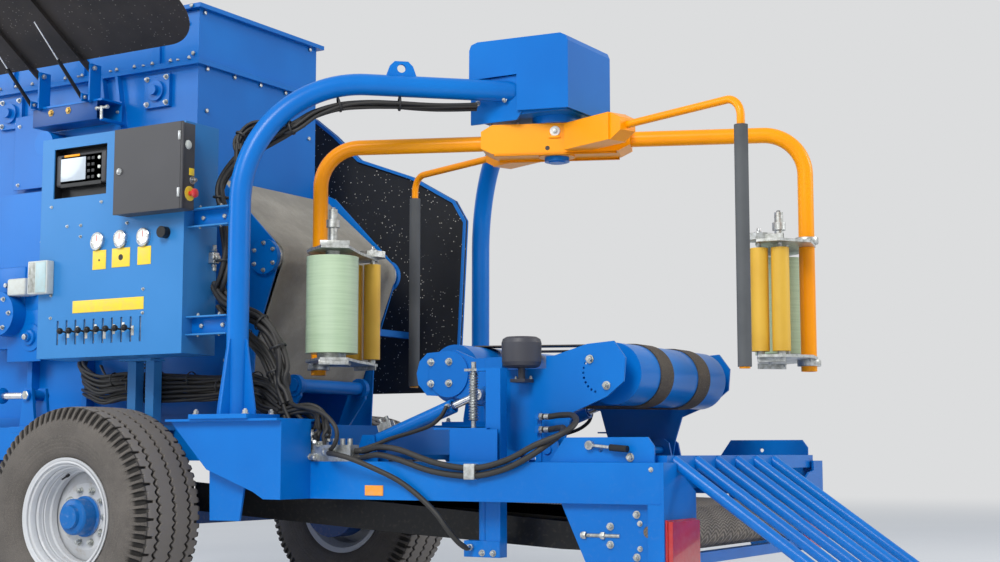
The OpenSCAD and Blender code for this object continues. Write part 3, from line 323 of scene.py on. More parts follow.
# zones with a finish of their own on a node, in millimetres from the wrapping axis
cutterZinc = [((-34, 780, 1006), (34, 870, 1340)), ((-34, -870, 1006), (34, -780, 1340))]
leverZinc = [((-805, 957, 890), (-660, 990, 946)), ((-805, -990, 890), (-660, -957, 946))]
leverBlack = [((-900, 960, 880), (-799, 1010, 940)), ((-900, -1010, 880), (-799, -960, 940))]
fittingZinc = [((1700, 1199, 1940), (2160, 1222, 2050)), ((1760, 1180, 1440), (2410, 1193, 1610))]
lockZinc = [((1825, 1307, 2305), (1875, 1330, 2355))]
guardRim = (-1.003, 0.0075)
finishes = {
    "blue": paint("bluePaint", "0071C8", "0065BA"),
    "cutterBlue": paint("cutterPaint", "0071C8", "0065BA", bare=cutterZinc),
    "bracketBlue": paint("bracketPaint", "0071C8", "0065BA", bare=leverZinc, black=leverBlack),
    # the cabinet's blue is lighter and paler than the other blue paint: painted reflection of the sky on its faces
    "cabinetBlueWithSkyReflection": paint("cabinetPaint", "357EBF", "2C77B7", gloss=0.34, dusty=0.12),
    "navy": paint("darkBluePaint", "0B4A90", "0A3E7E", dusty=0.5),
    "orange": paint("orangePaint", "FFA400", "FA9800", dusty=0.05),
    "blackPaint": paint("blackPaint", "1B1C1E", "141517", gloss=0.32, dusty=0.35),
    "doorPaint": paint("boxDoorPaint", "4B4B4E", "434346", gloss=0.42, dusty=0.10, bare=lockZinc),
    "greyPaint": paint("boxPaint", "4B4B4E", "434346", gloss=0.42, dusty=0.10),
    "fittings": paint("fittingPaint", "1E1F21", "191A1C", gloss=0.35, dusty=0.10, bare=fittingZinc),
    "silver": paint("rimPaint", "D3D5D8", "C4C6C9", dusty=0.75, hub=((axle.x, axle.z), "0A62AB")),
    "zinc": metal("zincPlate", "C9CCCB", "9FA19C"),
    "steel": metal("turnedSteel", "B9BCBE", "8E9091", roughness=0.22, grain=(1, 1, 12)),
    "chrome": metal("chromeRod", "D9DBDD", "C5C7CA", roughness=0.08),
    "tyre": tyreRubber("tyreRubber", axle),
    "belt": beltRubber("beltRubber", "8B877D", "A29D92", dusty=0.8),
    "crumbBelt": beltRubber("crumbBeltRubber", "4A443C", "5B544A", chevrons=True),
    "tableBelt": beltRubber("tableBeltRubber", "3A322C", "4C4138"),
    "foam": plastic("foamSleeve", "55585B", "4A4D50", roughness=0.75, scale=260, strength=0.35),
    "film": filmRoll("filmRoll"),
    "stretch": plastic("stretchRubber", "E3B43C", "D7A632", roughness=0.42, scale=300),
    "blackPlastic": plastic("blackPlastic", "232426", "1B1C1E", roughness=0.45),
    "rollerPlastic": plastic("rollerPlastic", "3C3D46", "34353D", roughness=0.42, scale=500),
    "hoodPlastic": plastic("hoodPlastic", "2B2522", "1B1817", roughness=0.6, speckle=0.25),
    "guardPlastic": plastic("guardPlastic", "17181A", "101113", roughness=0.55, speckle=0.9, rim=guardRim),
    "hose": plastic("hoseRubber", "222222", "2E2C2A", scale=700),
    "lampRed": flat("lampRed", "B50E18", roughness=0.12, dusty=0.06, Coat_Weight=0.6, rounding=0.004),
    "yellow": flat("yellowPlate", "F0CE2C"),
    "amber": flat("amberReflector", "F39A1A", roughness=0.15, Coat_Weight=0.6),
    "white": flat("whiteFace", "EDEFEA", roughness=0.3),
    "screen": flat("screenGlass", "B4C0CC", roughness=0.12, dusty=0.1, Coat_Weight=0.8),
    "redKnob": flat("redKnob", "D01822", roughness=0.25, Coat_Weight=0.4),
    "lightGrey": flat("lightGreyPlastic", "C9CFCB", rounding=0.002),
    "brass": metal("brassBolt", "C9A968", "A98A4C", roughness=0.3),
    "readerFace": flat("readerFace", "A9C4CA", roughness=0.25),
}
print("finishes:", len(finishes))

nodeFinish = {
    "blue": "main_frame rails rear_beam drawbar arch_left arch_right head_drive head_cover table_frame table_rollers "
            "tilt_barrel_left tilt_barrel_right ramp transfer_lift chamber feed_housing hopper intake drive_side "
            "metering_shafts",
    "navy": "axle power_input",
    "cabinetBlueWithSkyReflection": "cabinet",
    "orange": "rotor_beam rotor_arms safety_bars",
    "blackPaint": "parking_jack crumb_conveyor hood_struts",
    "greyPaint": "electric_box",
    "doorPaint": "box_door",
    "silver": "rim_left rim_right",
    "zinc": "film_holders manifold",
    "chrome": "tilt_rod_left tilt_rod_right strut_rods",
    "steel": "chamber_rollers",
    "tyre": "tyre_left tyre_right",
    "belt": "chamber_belt intake_belt",
    "crumbBelt": "crumb_belt",
    "tableBelt": "table_belts",
    "foam": "bar_sleeves",
    "film": "film_rolls",
    "stretch": "stretch_rollers",
    "rollerPlastic": "side_rollers",
    "fittings": "panel_fittings",
    "cutterBlue": "film_cutters",
    "bracketBlue": "rear_brackets",
    "guardPlastic": "side_guard",
    "hoodPlastic": "hood",
    "lampRed": "rear_lamps",
    "hose": "hose_bundle hose_table hose_cutter",
}
for key, names in nodeFinish.items():
    for name in names.split():
        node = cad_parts[name]
        node.data.materials.clear()
        node.data.materials.append(finishes[key])


# hoses, each with the node that it replaces, its diameter in metres and the source's route in millimetres

hoseRoutes = {
    "bundle": ("hose_bundle", 0.019, [
        (1243, 1082, 2450), (1243, 1082, 2100), (1243, 1082, 1700), (1243, 1082, 1400), (1237, 1058, 1300),
        (1225, 1010, 1200), (1160, 975, 1125), (1040, 970, 1094), (940, 965, 1104), (855, 960, 1106),
        (800, 953, 1075), (780, 950, 1010), (780, 950, 970), (780, 950, 930)]),
    "tableSupply": ("hose_table", 0.028, [
        (-290, 702, 1060), (-315, 702, 1060), (-340, 702, 1060), (-410, 715, 1066), (-500, 765, 1062),
        (-565, 860, 1030), (-555, 955, 980), (-434, 1005, 925), (-293, 1010, 860), (-113, 1010, 822),
        (90, 1010, 845), (293, 1010, 905), (430, 982, 918), (540, 945, 900), (570, 945, 900), (600, 945, 900)]),
    "tableReturn": ("hose_table", 0.028, [
        (-290, 702, 1000), (-315, 702, 1000), (-340, 702, 1000), (-400, 725, 1006), (-465, 790, 1004),
        (-500, 885, 975), (-470, 980, 920), (-380, 1010, 860), (-260, 1010, 812), (-100, 1010, 786),
        (110, 1010, 806), (300, 1012, 860), (430, 995, 882), (540, 958, 870), (570, 958, 870), (600, 958, 870)]),
    "cutterFeed": ("hose_cutter", 0.026, [
        (700, 985, 890), (700, 1002, 890), (700, 1020, 890), (672, 1056, 889), (600, 1082, 882),
        (520, 1080, 862), (420, 1055, 822), (300, 1020, 765), (190, 1010, 695), (90, 1005, 612),
        (40, 992, 545), (5, 955, 485), (-10, 908, 455), (-10, 884, 455), (-10, 860, 455)]),
}
# the thick run is a bunch of single hoses, which part for their unions on the valve block
bunch = {"spread": 20, "wander": 0.12, "parts": 0.66, "ends": [
    (792, 946, 948), (770, 935, 948), (842, 972, 948), (815, 962, 948), (872, 950, 948), (760, 975, 915)]}


def smoothRoute(places, steps=6):
    # passes through every place, with an even bend between them
    line = []
    for i in range(len(places) - 1):
        a, b, c, e = [Vector(places[max(0, min(k, len(places) - 1))]) for k in (i - 1, i, i + 1, i + 2)]
        for k in range(steps):
            t = k / steps
            line.append(b + t * (c - a) / 2 + t * t * (a - 2.5 * b + 2 * c - e / 2)
                        + t * t * t * (3 * b - a - 3 * c + e) / 2)
    return [spot(*p) for p in line + [Vector(places[-1])]]


def tubes(name, lines, diameter, resolution=4):
    # one round hose along each line, drawn as one piece
    data = bpy.data.curves.new(name, "CURVE")
    data.dimensions = "3D"
    data.bevel_depth = diameter / 2
    data.bevel_resolution = resolution
    data.use_fill_caps = True
    for line in lines:
        spline = data.splines.new("POLY")
        spline.points.add(len(line) - 1)
        for point, place in zip(spline.points, line):
            point.co = (*place, 1)
    data.materials.append(finishes["hose"])
    return put(name, data)


def strands(line, count, spread, wander):
    # lines side by side along one line, the first in the middle; spread in millimetres
    offsets = [(0.0, 0.0)]
    ring = 1
    while len(offsets) < count:
        for k in range(6 * ring):
            a = 2 * math.pi * k / (6 * ring) + ring
            offsets.append((ring * math.cos(a), ring * math.sin(a)))
        ring += 1
    made = []
    for k, (u, v) in enumerate(offsets[:count]):
        places = []
        for i, place in enumerate(line):
            ahead = (line[min(i + 1, len(line) - 1)] - line[max(i - 1, 0)]).normalized()
            across = ahead.cross(Vector((0.1, 0.2, 1))).normalized()
            up = across.cross(ahead)
            drift = wander * math.sin(0.31 * i + 1.9 * k) * min(i, len(line) - 1 - i, 8) / 8
            twist = 0.05 * i
            a = u * math.cos(twist) - v * math.sin(twist) + drift
            b = u * math.sin(twist) + v * math.cos(twist) + wander * math.cos(0.23 * i + 2.7 * k) * 0.7
            places.append(place + (across * a + up * b) * spread / 1000)
        made.append(places)
    return made


def addHose(name, line, diameter, node):
    piece = tubes("hose_" + name, [line], diameter)
    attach(piece, "frame")
    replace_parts(piece, node)


for name, (node, diameter, route) in hoseRoutes.items():
    line = smoothRoute(route)
    if name != "bundle":
        addHose(name, line, diameter, node)
        continue
    for k, places in enumerate(strands(line, len(bunch["ends"]), bunch["spread"], bunch["wander"])):
        shift = spot(*bunch["ends"][k]) - places[-1]
        for i in range(len(places)):
            share = max(0.0, (i / (len(places) - 1) - bunch["parts"]) / (1 - bunch["parts"]))
            places[i] = places[i] + shift * share * share * (3 - 2 * share)
        addHose(f"bunch{k}", places, diameter, node)


# repeated pieces, by Geometry Nodes

class Pattern(Tree):
    # a tree of Geometry Nodes with named inputs for its sizes
    def __init__(self, name, sizes):
        super().__init__(bpy.data.node_groups.new(name, "GeometryNodeTree"))
        face = self.tree.interface
        face.new_socket("Geometry", in_out="INPUT", socket_type="NodeSocketGeometry")
        for label, value in sizes.items():
            face.new_socket(label, in_out="INPUT", socket_type="NodeSocketFloat").default_value = value
        face.new_socket("Geometry", in_out="OUTPUT", socket_type="NodeSocketGeometry")
        start = self.tree.nodes.new("NodeGroupInput")
        self.size = {label: Wire(self, start.outputs[label]) for label in ["Geometry", *sizes]}

    def finish(self, shape, material):
        real = self.node("GeometryNodeRealizeInstances", {}, {0: shape})
        painted = self.node("GeometryNodeSetMaterial", {}, {"Geometry": real, "Material": material})
        self.node("NodeGroupOutput", {}, {0: painted})
        return self.tree


def grow(name, mesh, tree, sizes):
    # runs a tree on a mesh and keeps the plain result
    source = put(name + "Source", mesh)
    run = source.modifiers.new("pattern", "NODES")
    run.node_group = tree
    for item in tree.interface.items_tree:
        if item.in_out == "INPUT" and item.name in sizes:
            run[item.identifier] = sizes[item.name]
    graph = bpy.context.evaluated_depsgraph_get()
    made = bpy.data.meshes.new_from_object(source.evaluated_get(graph), depsgraph=graph)
    bpy.data.objects.remove(source)
    return put(name, made)


def boltPattern(material):
    p = Pattern("hexBolts", {"Head height": 0.66, "Washer width": 1.3, "Thread length": 0.35})
    parts = []
    # head, washer and thread, for a bolt of size 1
    rows = ((6, 0.58, p.size["Head height"], 0.46), (20, p.size["Washer width"] * 0.6, 0.14, 0.07),
            (12, 0.33, p.size["Thread length"], 0.88))
    for corners, radius, depth, middle in rows:
        part = p.node("GeometryNodeMeshCylinder", {}, {"Vertices": corners, "Radius": radius, "Depth": depth})
        parts.append(p.node("GeometryNodeTransform", {}, {"Geometry": part, "Translation": (0, 0, middle)}))
    whole = p.node("GeometryNodeJoinGeometry", {}, {0: parts})
    facing = p.node("GeometryNodeInputNamedAttribute", {"data_type": "FLOAT_VECTOR"}, {"Name": "facing"})
    size = p.node("GeometryNodeInputNamedAttribute", {"data_type": "FLOAT"}, {"Name": "size"})
    turn = p.node("FunctionNodeAlignRotationToVector", {"axis": "Z"}, {"Vector": facing})
    placed = p.node("GeometryNodeInstanceOnPoints", {}, {
        "Points": p.size["Geometry"], "Instance": whole, "Rotation": turn, "Scale": size})
    return p.finish(placed, material)


ways = {"left": (0, 1, 0), "right": (0, -1, 0), "rear": (-1, 0, 0), "front": (1, 0, 0), "up": (0, 0, 1),
        "down": (0, 0, -1)}


def ringOf(x, y, z, radius, count, way, size, start=0.0):
    # bolts on a circle round (x, y, z), on a side of the machine
    turns = [math.radians(start) + 2 * math.pi * i / count for i in range(count)]
    return [(x + radius * math.cos(a), y, z + radius * math.sin(a), way, size) for a in turns]


def rowOf(first, last, count, way, size):
    return [tuple(a + (b - a) * i / (count - 1) for a, b in zip(first, last)) + (way, size) for i in range(count)]


def mirrored(bolts):
    other = {"left": "right", "right": "left"}
    return bolts + [(x, -y, z, other.get(way, way), size) for x, y, z, way, size in bolts]


panelBolts = [(x, 1200, z, "left", 11) for x, z in (
    (2449, 2207), (2080, 2207), (2327, 2094), (2226, 2092), (2226, 2032), (2432, 1728), (1768, 1728),
    (2432, 1606), (1768, 1606), (1892, 2080))]
tieBolts = [(x, 1146, z, way, 14) for way, heights in (("down", (1488, 2038)), ("up", (1578, 2128)))
            for z in heights for x in (1300, 1440)]
dropBolts = [(x, 956, z, "left", size) for x, z, size in (
    (-786, 572, 22), (-786, 494, 22), (-914, 626, 22), (-1005, 626, 22), (-929, 588, 16), (-929, 480, 16),
    (-914, 443, 22))]
footBolts = [(1180 + dx, 1146 + dy, 1080, "up", 24) for dx in (-140, 172) for dy in (-98, 98)]
chamberRim = [(x, 576, 3112, "up", 16) for x in range(2060, 3880, 140)]
feedBolts = (
    ringOf(2310, 566, 2957, 104, 4, "left", 20, 45) + ringOf(3510, 566, 2957, 104, 4, "left", 20, 45)
    + ringOf(1490, 581, 1945, 74, 6, "left", 16, 30) + ringOf(1700, 581, 1350, 60, 4, "left", 16, 45)
    + ringOf(1940, 581, 2360, 60, 4, "left", 16, 45) + [(344, 235, 2720, "left", 18), (180, 235, 2720, "left", 18)]
    + rowOf((-70, 860, 430), (-130, 860, 430), 2, "left", 20)
    + [(-885, 955, 872, "left", 24), (-1000, 990, 820, "left", 14)]
    + rowOf((3965, 491, 1120), (4180, 491, 1900), 3, "left", 16))
driveFace = 700  # how far the drive's left wall stands out
driveBolts = (
    ringOf(3300, 800, 1700, 95, 6, "left", 18) + ringOf(2900, 780, 2100, 66, 5, "left", 16)
    + [bolt for x in (2730, 3530) for bolt in rowOf((x, driveFace, 1530), (x, driveFace, 2390), 6, "left", 16)]
    + [(x, 588, 2890, "left", 20) for x in (2990, 3135)]
    + [(x, 588, z, "left", 14) for x in (2590, 2810, 3400) for z in (2500, 2860)]
    + rowOf((2360, -1006, 1300), (1460, -1006, 1300), 5, "right", 14))
boltSets = {
    "frame": panelBolts + tieBolts + mirrored(dropBolts + footBolts + chamberRim + feedBolts) + driveBolts,
    "table": mirrored([(x, 633, z, "left", 24) for x in (262, 368) for z in (1232, 1338)]
                      + [(-515, 623, 1328, "left", 26), (-602, 623, 1203, "left", 26)]
                      + [(x, 650, 1241, "up", 14) for x in (-211, -131)]),
    "rotor": [],
}
for side, way in bothSides:
    boltSets["wheel_" + way] = ringOf(wheel["x"], side * (wheel["y"] + 50), wheel["z"], 137, 10, way, 26)
units = (("near", 22), ("far", 202))  # the film units, and how many degrees their arms stand turned
plateTop, plateLow = 1946, 1358  # heights of a film unit's two plates
for unit, turn in units:
    # screws on the clamp brackets of the beam, and nuts on the plates of the film units
    for r, off, size in ((200, 60, 18), (200, -60, 18), (340, 55, 16), (340, -55, 16)):
        boltSets["rotor"].append((*onUnit(turn, r, off, 2600), "up", size))
    for r, a in ((1290, -6), (1290, 6), (1110, -13), (1220, 17), (1090, 5)):
        boltSets["rotor"].append((*onUnit(turn + a, r, 0, plateTop), "up", 15))
        boltSets["rotor"].append((*onUnit(turn + a, r, 0, plateLow), "down", 15))

boltTree = boltPattern(finishes["zinc"])
for body, bolts in boltSets.items():
    mesh = bpy.data.meshes.new("boltPlaces")
    mesh.from_pydata([spot(*b[:3]) for b in bolts], [], [])
    facing = mesh.attributes.new("facing", "FLOAT_VECTOR", "POINT")
    facing.data.foreach_set("vector", [c for b in bolts for c in ways[b[3]]])
    size = mesh.attributes.new("size", "FLOAT", "POINT")
    size.data.foreach_set("value", [b[4] / 1000 for b in bolts])
    piece = grow("bolts_" + body, mesh, boltTree, {"Head height": 0.62})
    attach(piece, body)
print("bolts:", sum(len(b) for b in boltSets.values()))


# small pieces in plain mesh code, placed in millimetres from the wrapping axis

def keep(name, shape, finish, body):
    bmesh.ops.recalc_face_normals(shape, faces=shape.faces[:])
    mesh = bpy.data.meshes.new(name)
    shape.to_mesh(mesh)
    shape.free()
    for face in mesh.polygons:
        face.use_smooth = True
    mesh.set_sharp_from_angle(angle=math.radians(35))
    mesh.materials.append(finishes[finish])
    piece = put(name, mesh)
    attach(piece, body)
    return piece


def roundedBox(name, low, high, finish, edge):
    # edge: the rounding, in metres
    a, b = spot(*low), spot(*high)
    shape = bmesh.new()
    bmesh.ops.create_cube(shape, size=1)
    for v in shape.verts:
        v.co = Vector(((a[i] + b[i]) / 2 + v.co[i] * (b[i] - a[i]) for i in range(3)))
    bmesh.ops.bevel(shape, geom=shape.edges[:], offset=edge, segments=3, affect="EDGES", profile=0.5)
    keep(name, shape, finish, "frame")


def boxes(rows):
    # rows: name, then the two corners, finish and rounding
    for name, row in rows.items():
        roundedBox(name, *row)


def slab(name, p, q, width, height, finish, body, edge=0.002):
    # a bar of one section from p to q, standing on its height
    p, q = Vector(p), Vector(q)
    along = (q - p).normalized()
    across = Vector((0, 0, 1)).cross(along).normalized()
    shape = bmesh.new()
    bmesh.ops.create_cube(shape, size=1)
    turn = Matrix((along, across, along.cross(across))).transposed()
    for v in shape.verts:
        offset = turn @ Vector((v.co.x * (q - p).length, v.co.y * width, v.co.z * height))
        v.co = spot(*((p + q) / 2 + offset))
    bmesh.ops.bevel(shape, geom=shape.edges[:], offset=edge, segments=2, affect="EDGES", profile=0.5)
    keep(name, shape, finish, body)


def turned(name, profile, place, way, finish, body="frame", segments=40):
    # profile: (radius, height) pairs in millimetres, turned about the way's axis
    shape = bmesh.new()
    rings = []
    for radius, height in profile:
        turns = [2 * math.pi * i / segments for i in range(segments)] if radius > 0 else [0]
        rings.append([shape.verts.new((radius / 1000 * math.cos(a), radius / 1000 * math.sin(a), height / 1000))
                      for a in turns])
    for one, two in zip(rings, rings[1:]):
        for i in range(segments):
            j = (i + 1) % segments
            corners = [one[i % len(one)], one[j % len(one)], two[j % len(two)], two[i % len(two)]]
            corners = [c for k, c in enumerate(corners) if c not in corners[:k]]
            if len(corners) > 2:
                shape.faces.new(corners)
    turn = Vector(ways[way] if isinstance(way, str) else way).to_track_quat("Z", "Y").to_matrix().to_4x4()
    bmesh.ops.transform(shape, matrix=Matrix.Translation(spot(*place)) @ turn, verts=shape.verts)
    keep(name, shape, finish, body)


def fitting(name, place, way, size, length, body="frame", finish="zinc"):
    # hose fitting: hexagon nut, collar and ferrule along one way
    nut = [(0, 0), (size, 0), (size * 1.05, 2), (size * 1.05, size * 0.9), (size * 0.8, size)]
    ferrule = [(size * 0.7, size), (size * 0.7, length * 0.45), (size * 0.85, length * 0.5),
               (size * 0.85, length * 0.95), (size * 0.6, length), (0, length)]
    turned(name + "Nut", nut, place, way, finish, body, 6)
    turned(name + "Ferrule", ferrule, place, way, finish, body, 24)


# gauges on the control panel: rim, dial and needle
panel = 1200  # how far the panel's face stands out
gauges = {"height": 2002, "places": (1768, 1931, 2092), "radius": 40, "marks": 9}
for i, x in enumerate(gauges["places"]):
    r, z = gauges["radius"], gauges["height"]
    turned(f"gaugeRim{i}", [(r - 5, 12), (r - 5, 19), (r - 1, 20), (r + 3, 17), (r + 4, 8), (r + 4, 0)],
           (x, panel, z), "left", "chrome")
    turned(f"gaugeDial{i}", [(0, 16.6), (r - 5, 16.4), (r - 5, 12)], (x, panel, z), "left", "white")
    for k in range(gauges["marks"]):
        a = math.radians(-135 + 270 * k / (gauges["marks"] - 1))
        u, v = x - math.sin(a) * (r - 11), z + math.cos(a) * (r - 11)
        roundedBox(f"gaugeMark{i}_{k}", (u - 1.2, 1216, v - 1.2), (u + 1.2, 1217.4, v + 1.2), "blackPlastic", 0.0003)
    roundedBox(f"gaugeNeedle{i}", (x - 2, 1216.5, z - 4), (x + 2, 1218.2, z + r - 14), "redKnob", 0.0006)

# bare yellow plates under the gauges and over the levers
for name, low, high in (("underLeft", (1720, 1855), (1813, 1950)), ("underMiddle", (1866, 1852), (1994, 1952)),
                        ("underRight", (2036, 1848), (2132, 1950)), ("strip", (1762, 1625), (2270, 1690))):
    roundedBox("plate_" + name, (low[0], panel, low[1]), (high[0], panel + 2.5, high[1]), "yellow", 0.001)
for name, x, z, r in (("left", 2084, 1897, 6), ("middle", 1930, 1903, 16)):
    turned("plateDot_" + name, [(0, 3.4), (r, 3.2), (r, 2)], (x, panel, z), "left", "blackPlastic")

# terminal in its recess: case, bright screen, keys and dials
boxes({"terminalCase": ((2072, 1150, 2316), (2440, 1188, 2490), "greyPaint", 0.014),
       "terminalScreen": ((2216, 1187, 2342), (2400, 1190, 2466), "screen", 0.0012),
       "terminalStripe": ((2262, 1187, 2473), (2376, 1190, 2485), "orange", 0.0012)})
for k in range(4):
    z = 2352 + 34 * k
    for side, x in (("near", 2194), ("far", 2162)):
        roundedBox(f"terminalKey_{side}{k}", (x - 10, 1187, z - 8), (x + 10, 1190, z + 8), "blackPlastic", 0.001)
for k in range(3):
    turned(f"terminalDial{k}", [(0, 5), (9, 4.5), (10, 0)], (2116, 1188, 2352 + 50 * k), "left", "lightGrey")

# electric box: lock on its door, hinges, and the round lamp, key switch and stop button on its rear side
turned("boxLock", [(0, 5), (5, 5), (11, 3), (13, 0)], (1850, 1314, 2330), "left", "steel", "door")
for z in (2190, 2480):
    roundedBox(f"boxHinge{z}", (1436, 1292, z - 24), (1452, 1311, z + 24), "steel", 0.002)
turned("sideLamp", [(0, 10), (16, 8), (20, 4), (24, 0)], (1437, 1248, 2440), "rear", "lightGrey")
turned("keySwitch", [(0, 26), (9, 26), (11, 22), (11, 8), (19, 6), (21, 0)], (1437, 1214, 2262), "rear", "steel")
turned("stopDisc", [(0, 3), (36, 2.5), (38, 0)], (1437, 1232, 2192), "rear", "yellow")
turned("stopButton", [(0, 46), (12, 45), (22, 40), (24, 32), (20, 26), (13, 24), (13, 2)], (1437, 1232, 2192), "rear",
       "redKnob")

# plate under the lamp, reflector on the rail, and the clip of the table's hoses
boxes({"sidePlate": ((1434, 1204, 2286), (1437.5, 1240, 2322), "yellow", 0.0008),
       "reflector": ((400, 989, 689), (505, 996, 738), "amber", 0.002),
       "hoseClip": ((-130, 989, 770), (-72, 1030, 842), "zinc", 0.003)})
print("small pieces done")


# tyres: ribs with zigzag grooves, and blocks along both shoulders

# one half of the section from the tread's middle to the sidewall: width and radius in millimetres, how far the point
# follows the zigzag, depth of the slot between two blocks and its half width, depth of the pocket between two slots
tyreTread = [(8, 548, 1, 0, 5, 0), (12, 565, 1, 0, 5, 0), (100, 564.5, 1, 0, 5, 0), (104, 548, 1, 0, 5, 0),
             (120, 548, 1, 0, 5, 0), (124, 563.5, 1, 0, 5, 0), (143, 562.5, 0.2, 0, 5, 0), (144, 562.5, 0.2, 13, 5, 0),
             (172, 561, 0, 14, 6, 0), (187, 558, 0, 16, 9, 12), (194, 555, 0, 24, 12, 24), (203, 545, 0, 30, 14, 30),
             (211, 530, 0, 28, 14, 28), (218, 514, 0, 18, 13, 18), (224, 495, 0, 7, 11, 7), (227, 478, 0, 0, 10, 0)]
# from there to the bead, and the hollow inside, both smooth
tyreSide = [(230, 458), (230, 428), (228, 400), (225, 378), (220, 352), (213, 332), (205, 318), (193, 308),
            (184, 292), (176.5, 283), (138, 265.5)]
tyreHollow = [(150, 345), (186, 470), (150, 530)]
smoothPart = (0, 0, 6, 0)


def flipped(rows):
    return [(-row[0],) + row[1:] for row in reversed(rows)]


def makeTyre(name, side, node, body):
    pitch = 2 * math.pi / wheel["blocks"]
    half = tyreTread + [place + smoothPart for place in tyreSide]
    hollow = [place + smoothPart for place in tyreHollow]
    shape = bmesh.new()
    columns = []
    for block in range(wheel["blocks"]):
        for part in range(10):
            ring = []
            for width, radius, follow, depth, slot, pocket in flipped(half) + half + hollow + flipped(hollow):
                edge = slot / wheel["z"] / pitch
                share = (-edge - 0.02, -edge, edge, edge + 0.02, 1 / 4, 0.48 - edge, 0.5 - edge, 0.5 + edge,
                         0.52 + edge, 3 / 4)[part]
                turn = (block + share + (0.25 if width < 0 else 0)) * pitch
                wave = abs((2 * turn / pitch) % 1 - 0.5) * 4 - 1
                r = (radius - (depth if part in (1, 2) else pocket if part in (6, 7) else 0)) / 1000
                ring.append(shape.verts.new((r * math.cos(turn) + wheel["x"] / 1000 - rotorPlace,
                                             side * wheel["y"] / 1000 + width / 1000 + follow * wave * wheel["zigzag"],
                                             r * math.sin(turn) + wheel["z"] / 1000)))
            columns.append(ring)
    for one, two in zip(columns, columns[1:] + columns[:1]):
        for i in range(len(one)):
            j = (i + 1) % len(one)
            shape.faces.new((one[i], one[j], two[j], two[i]))
    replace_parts(keep(name, shape, "tyre", body), node)


for side, way in bothSides:
    makeTyre("treadedTyre" + way.title(), side, "tyre_" + way, "wheel_" + way)
rimProfiles = {
    "rimRings": [(268.5, 187), (262, 184), (256, 170), (256, 150), (247, 141), (246, 112), (239, 104), (238, 74),
                 (231, 66), (231, 30), (243.5, 26), (243.5, 110), (253, 142), (269, 186)],
    "rimLip": [(285, 200), (281, 202.5), (275, 200), (272, 193), (279, 194)]}
for side, way in bothSides:
    body = "wheel_" + way
    for name, profile in rimProfiles.items():
        turned(name + body, profile, (wheel["x"], side * wheel["y"], wheel["z"]), way, "silver", body, 96)
    turned("valveStem" + body, [(0, 62), (4, 62), (5, 40), (5, 20), (8, 18), (8, 0), (0, 0)],
           (wheel["x"] + 90, side * (wheel["y"] + 90), wheel["z"] + 212), (-0.2, side * 0.9, -0.35), "blackPlastic",
           body, 16)
print("tyres done")


# hoses and cables that ties and clips hold all the way

def bundle(name, route, count, diameter, spread):
    # a bunch of hoses side by side along one route, drawn as one piece
    line = smoothRoute(route, 5)
    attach(tubes(name, strands(line, count, spread, 0.35), diameter / 1000, 3), "frame")
    return line


def tie(name, line, share, radius, width=5, finish="blackPlastic"):
    # a narrow band round a bunch of hoses, or a ferrule round one
    i = max(1, min(len(line) - 2, int(share * (len(line) - 1))))
    place = [line[i].x * 1000 + rotorPlace * 1000, line[i].y * 1000, line[i].z * 1000]
    band = [(radius - 3, -width), (radius, -width), (radius + 1, -width * 0.6), (radius + 1, width * 0.6),
            (radius, width), (radius - 3, width)]
    turned(name, band, place, (line[i + 1] - line[i - 1]).normalized(), finish, segments=20)


# how many hoses, their diameter and distance, where along the route the ties sit, and the route
harness = {
    "besideArch": (7, 25, 24, (0.2, 0.42, 0.62), [
        (1490, 960, 1760), (1400, 985, 1660), (1290, 985, 1605), (1190, 975, 1560), (1120, 960, 1490),
        (1075, 950, 1400), (1050, 945, 1300), (1045, 950, 1210), (1010, 965, 1130)]),
    "besideArchLow": (5, 24, 24, (0.3, 0.6), [
        (1490, 930, 1640), (1400, 950, 1550), (1300, 945, 1480), (1200, 930, 1400), (1130, 925, 1310),
        (1095, 930, 1230), (1060, 950, 1150), (1030, 970, 1112)]),
    "archTop": (5, 19, 20, (0.12, 0.4, 0.6, 0.8), [
        (1243, 1082, 2420), (1242, 1078, 2480), (1200, 1030, 2545), (1110, 965, 2545), (1001, 968, 2530),
        (919, 895, 2606), (823, 808, 2658), (720, 712, 2677), (596, 596, 2679), (450, 460, 2680), (300, 320, 2690)]),
    "behindArch": (3, 27, 27, (0.3, 0.55, 0.8), [
        (960, 915, 2545), (1040, 950, 2500), (1150, 985, 2450), (1290, 1000, 2390), (1405, 1000, 2290),
        (1432, 1000, 2180), (1420, 1000, 2050), (1406, 1000, 1900), (1410, 990, 1790), (1450, 970, 1740)]),
    "underCabinetHigh": (5, 21, 21, (0.25, 0.5, 0.8), [
        (2760, 640, 1420), (2640, 760, 1350), (2450, 812, 1288), (2250, 815, 1296), (2050, 820, 1290),
        (1850, 820, 1284), (1650, 830, 1276), (1480, 850, 1276), (1340, 880, 1280), (1230, 915, 1260),
        (1130, 935, 1230), (1060, 950, 1180)]),
    "underCabinetMiddle": (6, 19, 19, (0.3, 0.6), [
        (2740, 640, 1330), (2600, 770, 1290), (2430, 822, 1236), (2240, 826, 1248), (2050, 828, 1238),
        (1850, 830, 1236), (1650, 840, 1232), (1480, 860, 1236), (1340, 890, 1240), (1220, 925, 1222),
        (1120, 950, 1180), (1050, 965, 1130)]),
    "underCabinetLow": (6, 18, 18, (0.35, 0.7), [
        (2740, 640, 1240), (2560, 770, 1215), (2400, 815, 1180), (2240, 820, 1200), (2050, 824, 1190),
        (1850, 826, 1186), (1650, 836, 1188), (1480, 856, 1198), (1330, 890, 1196), (1210, 930, 1170),
        (1110, 960, 1130), (1030, 985, 1090)]),
    "looseCable": (2, 12, 14, (), [
        (2470, 780, 1370), (2400, 800, 1300), (2300, 812, 1262), (2190, 815, 1330), (2080, 812, 1352),
        (1980, 815, 1300), (1890, 818, 1240)]),
}
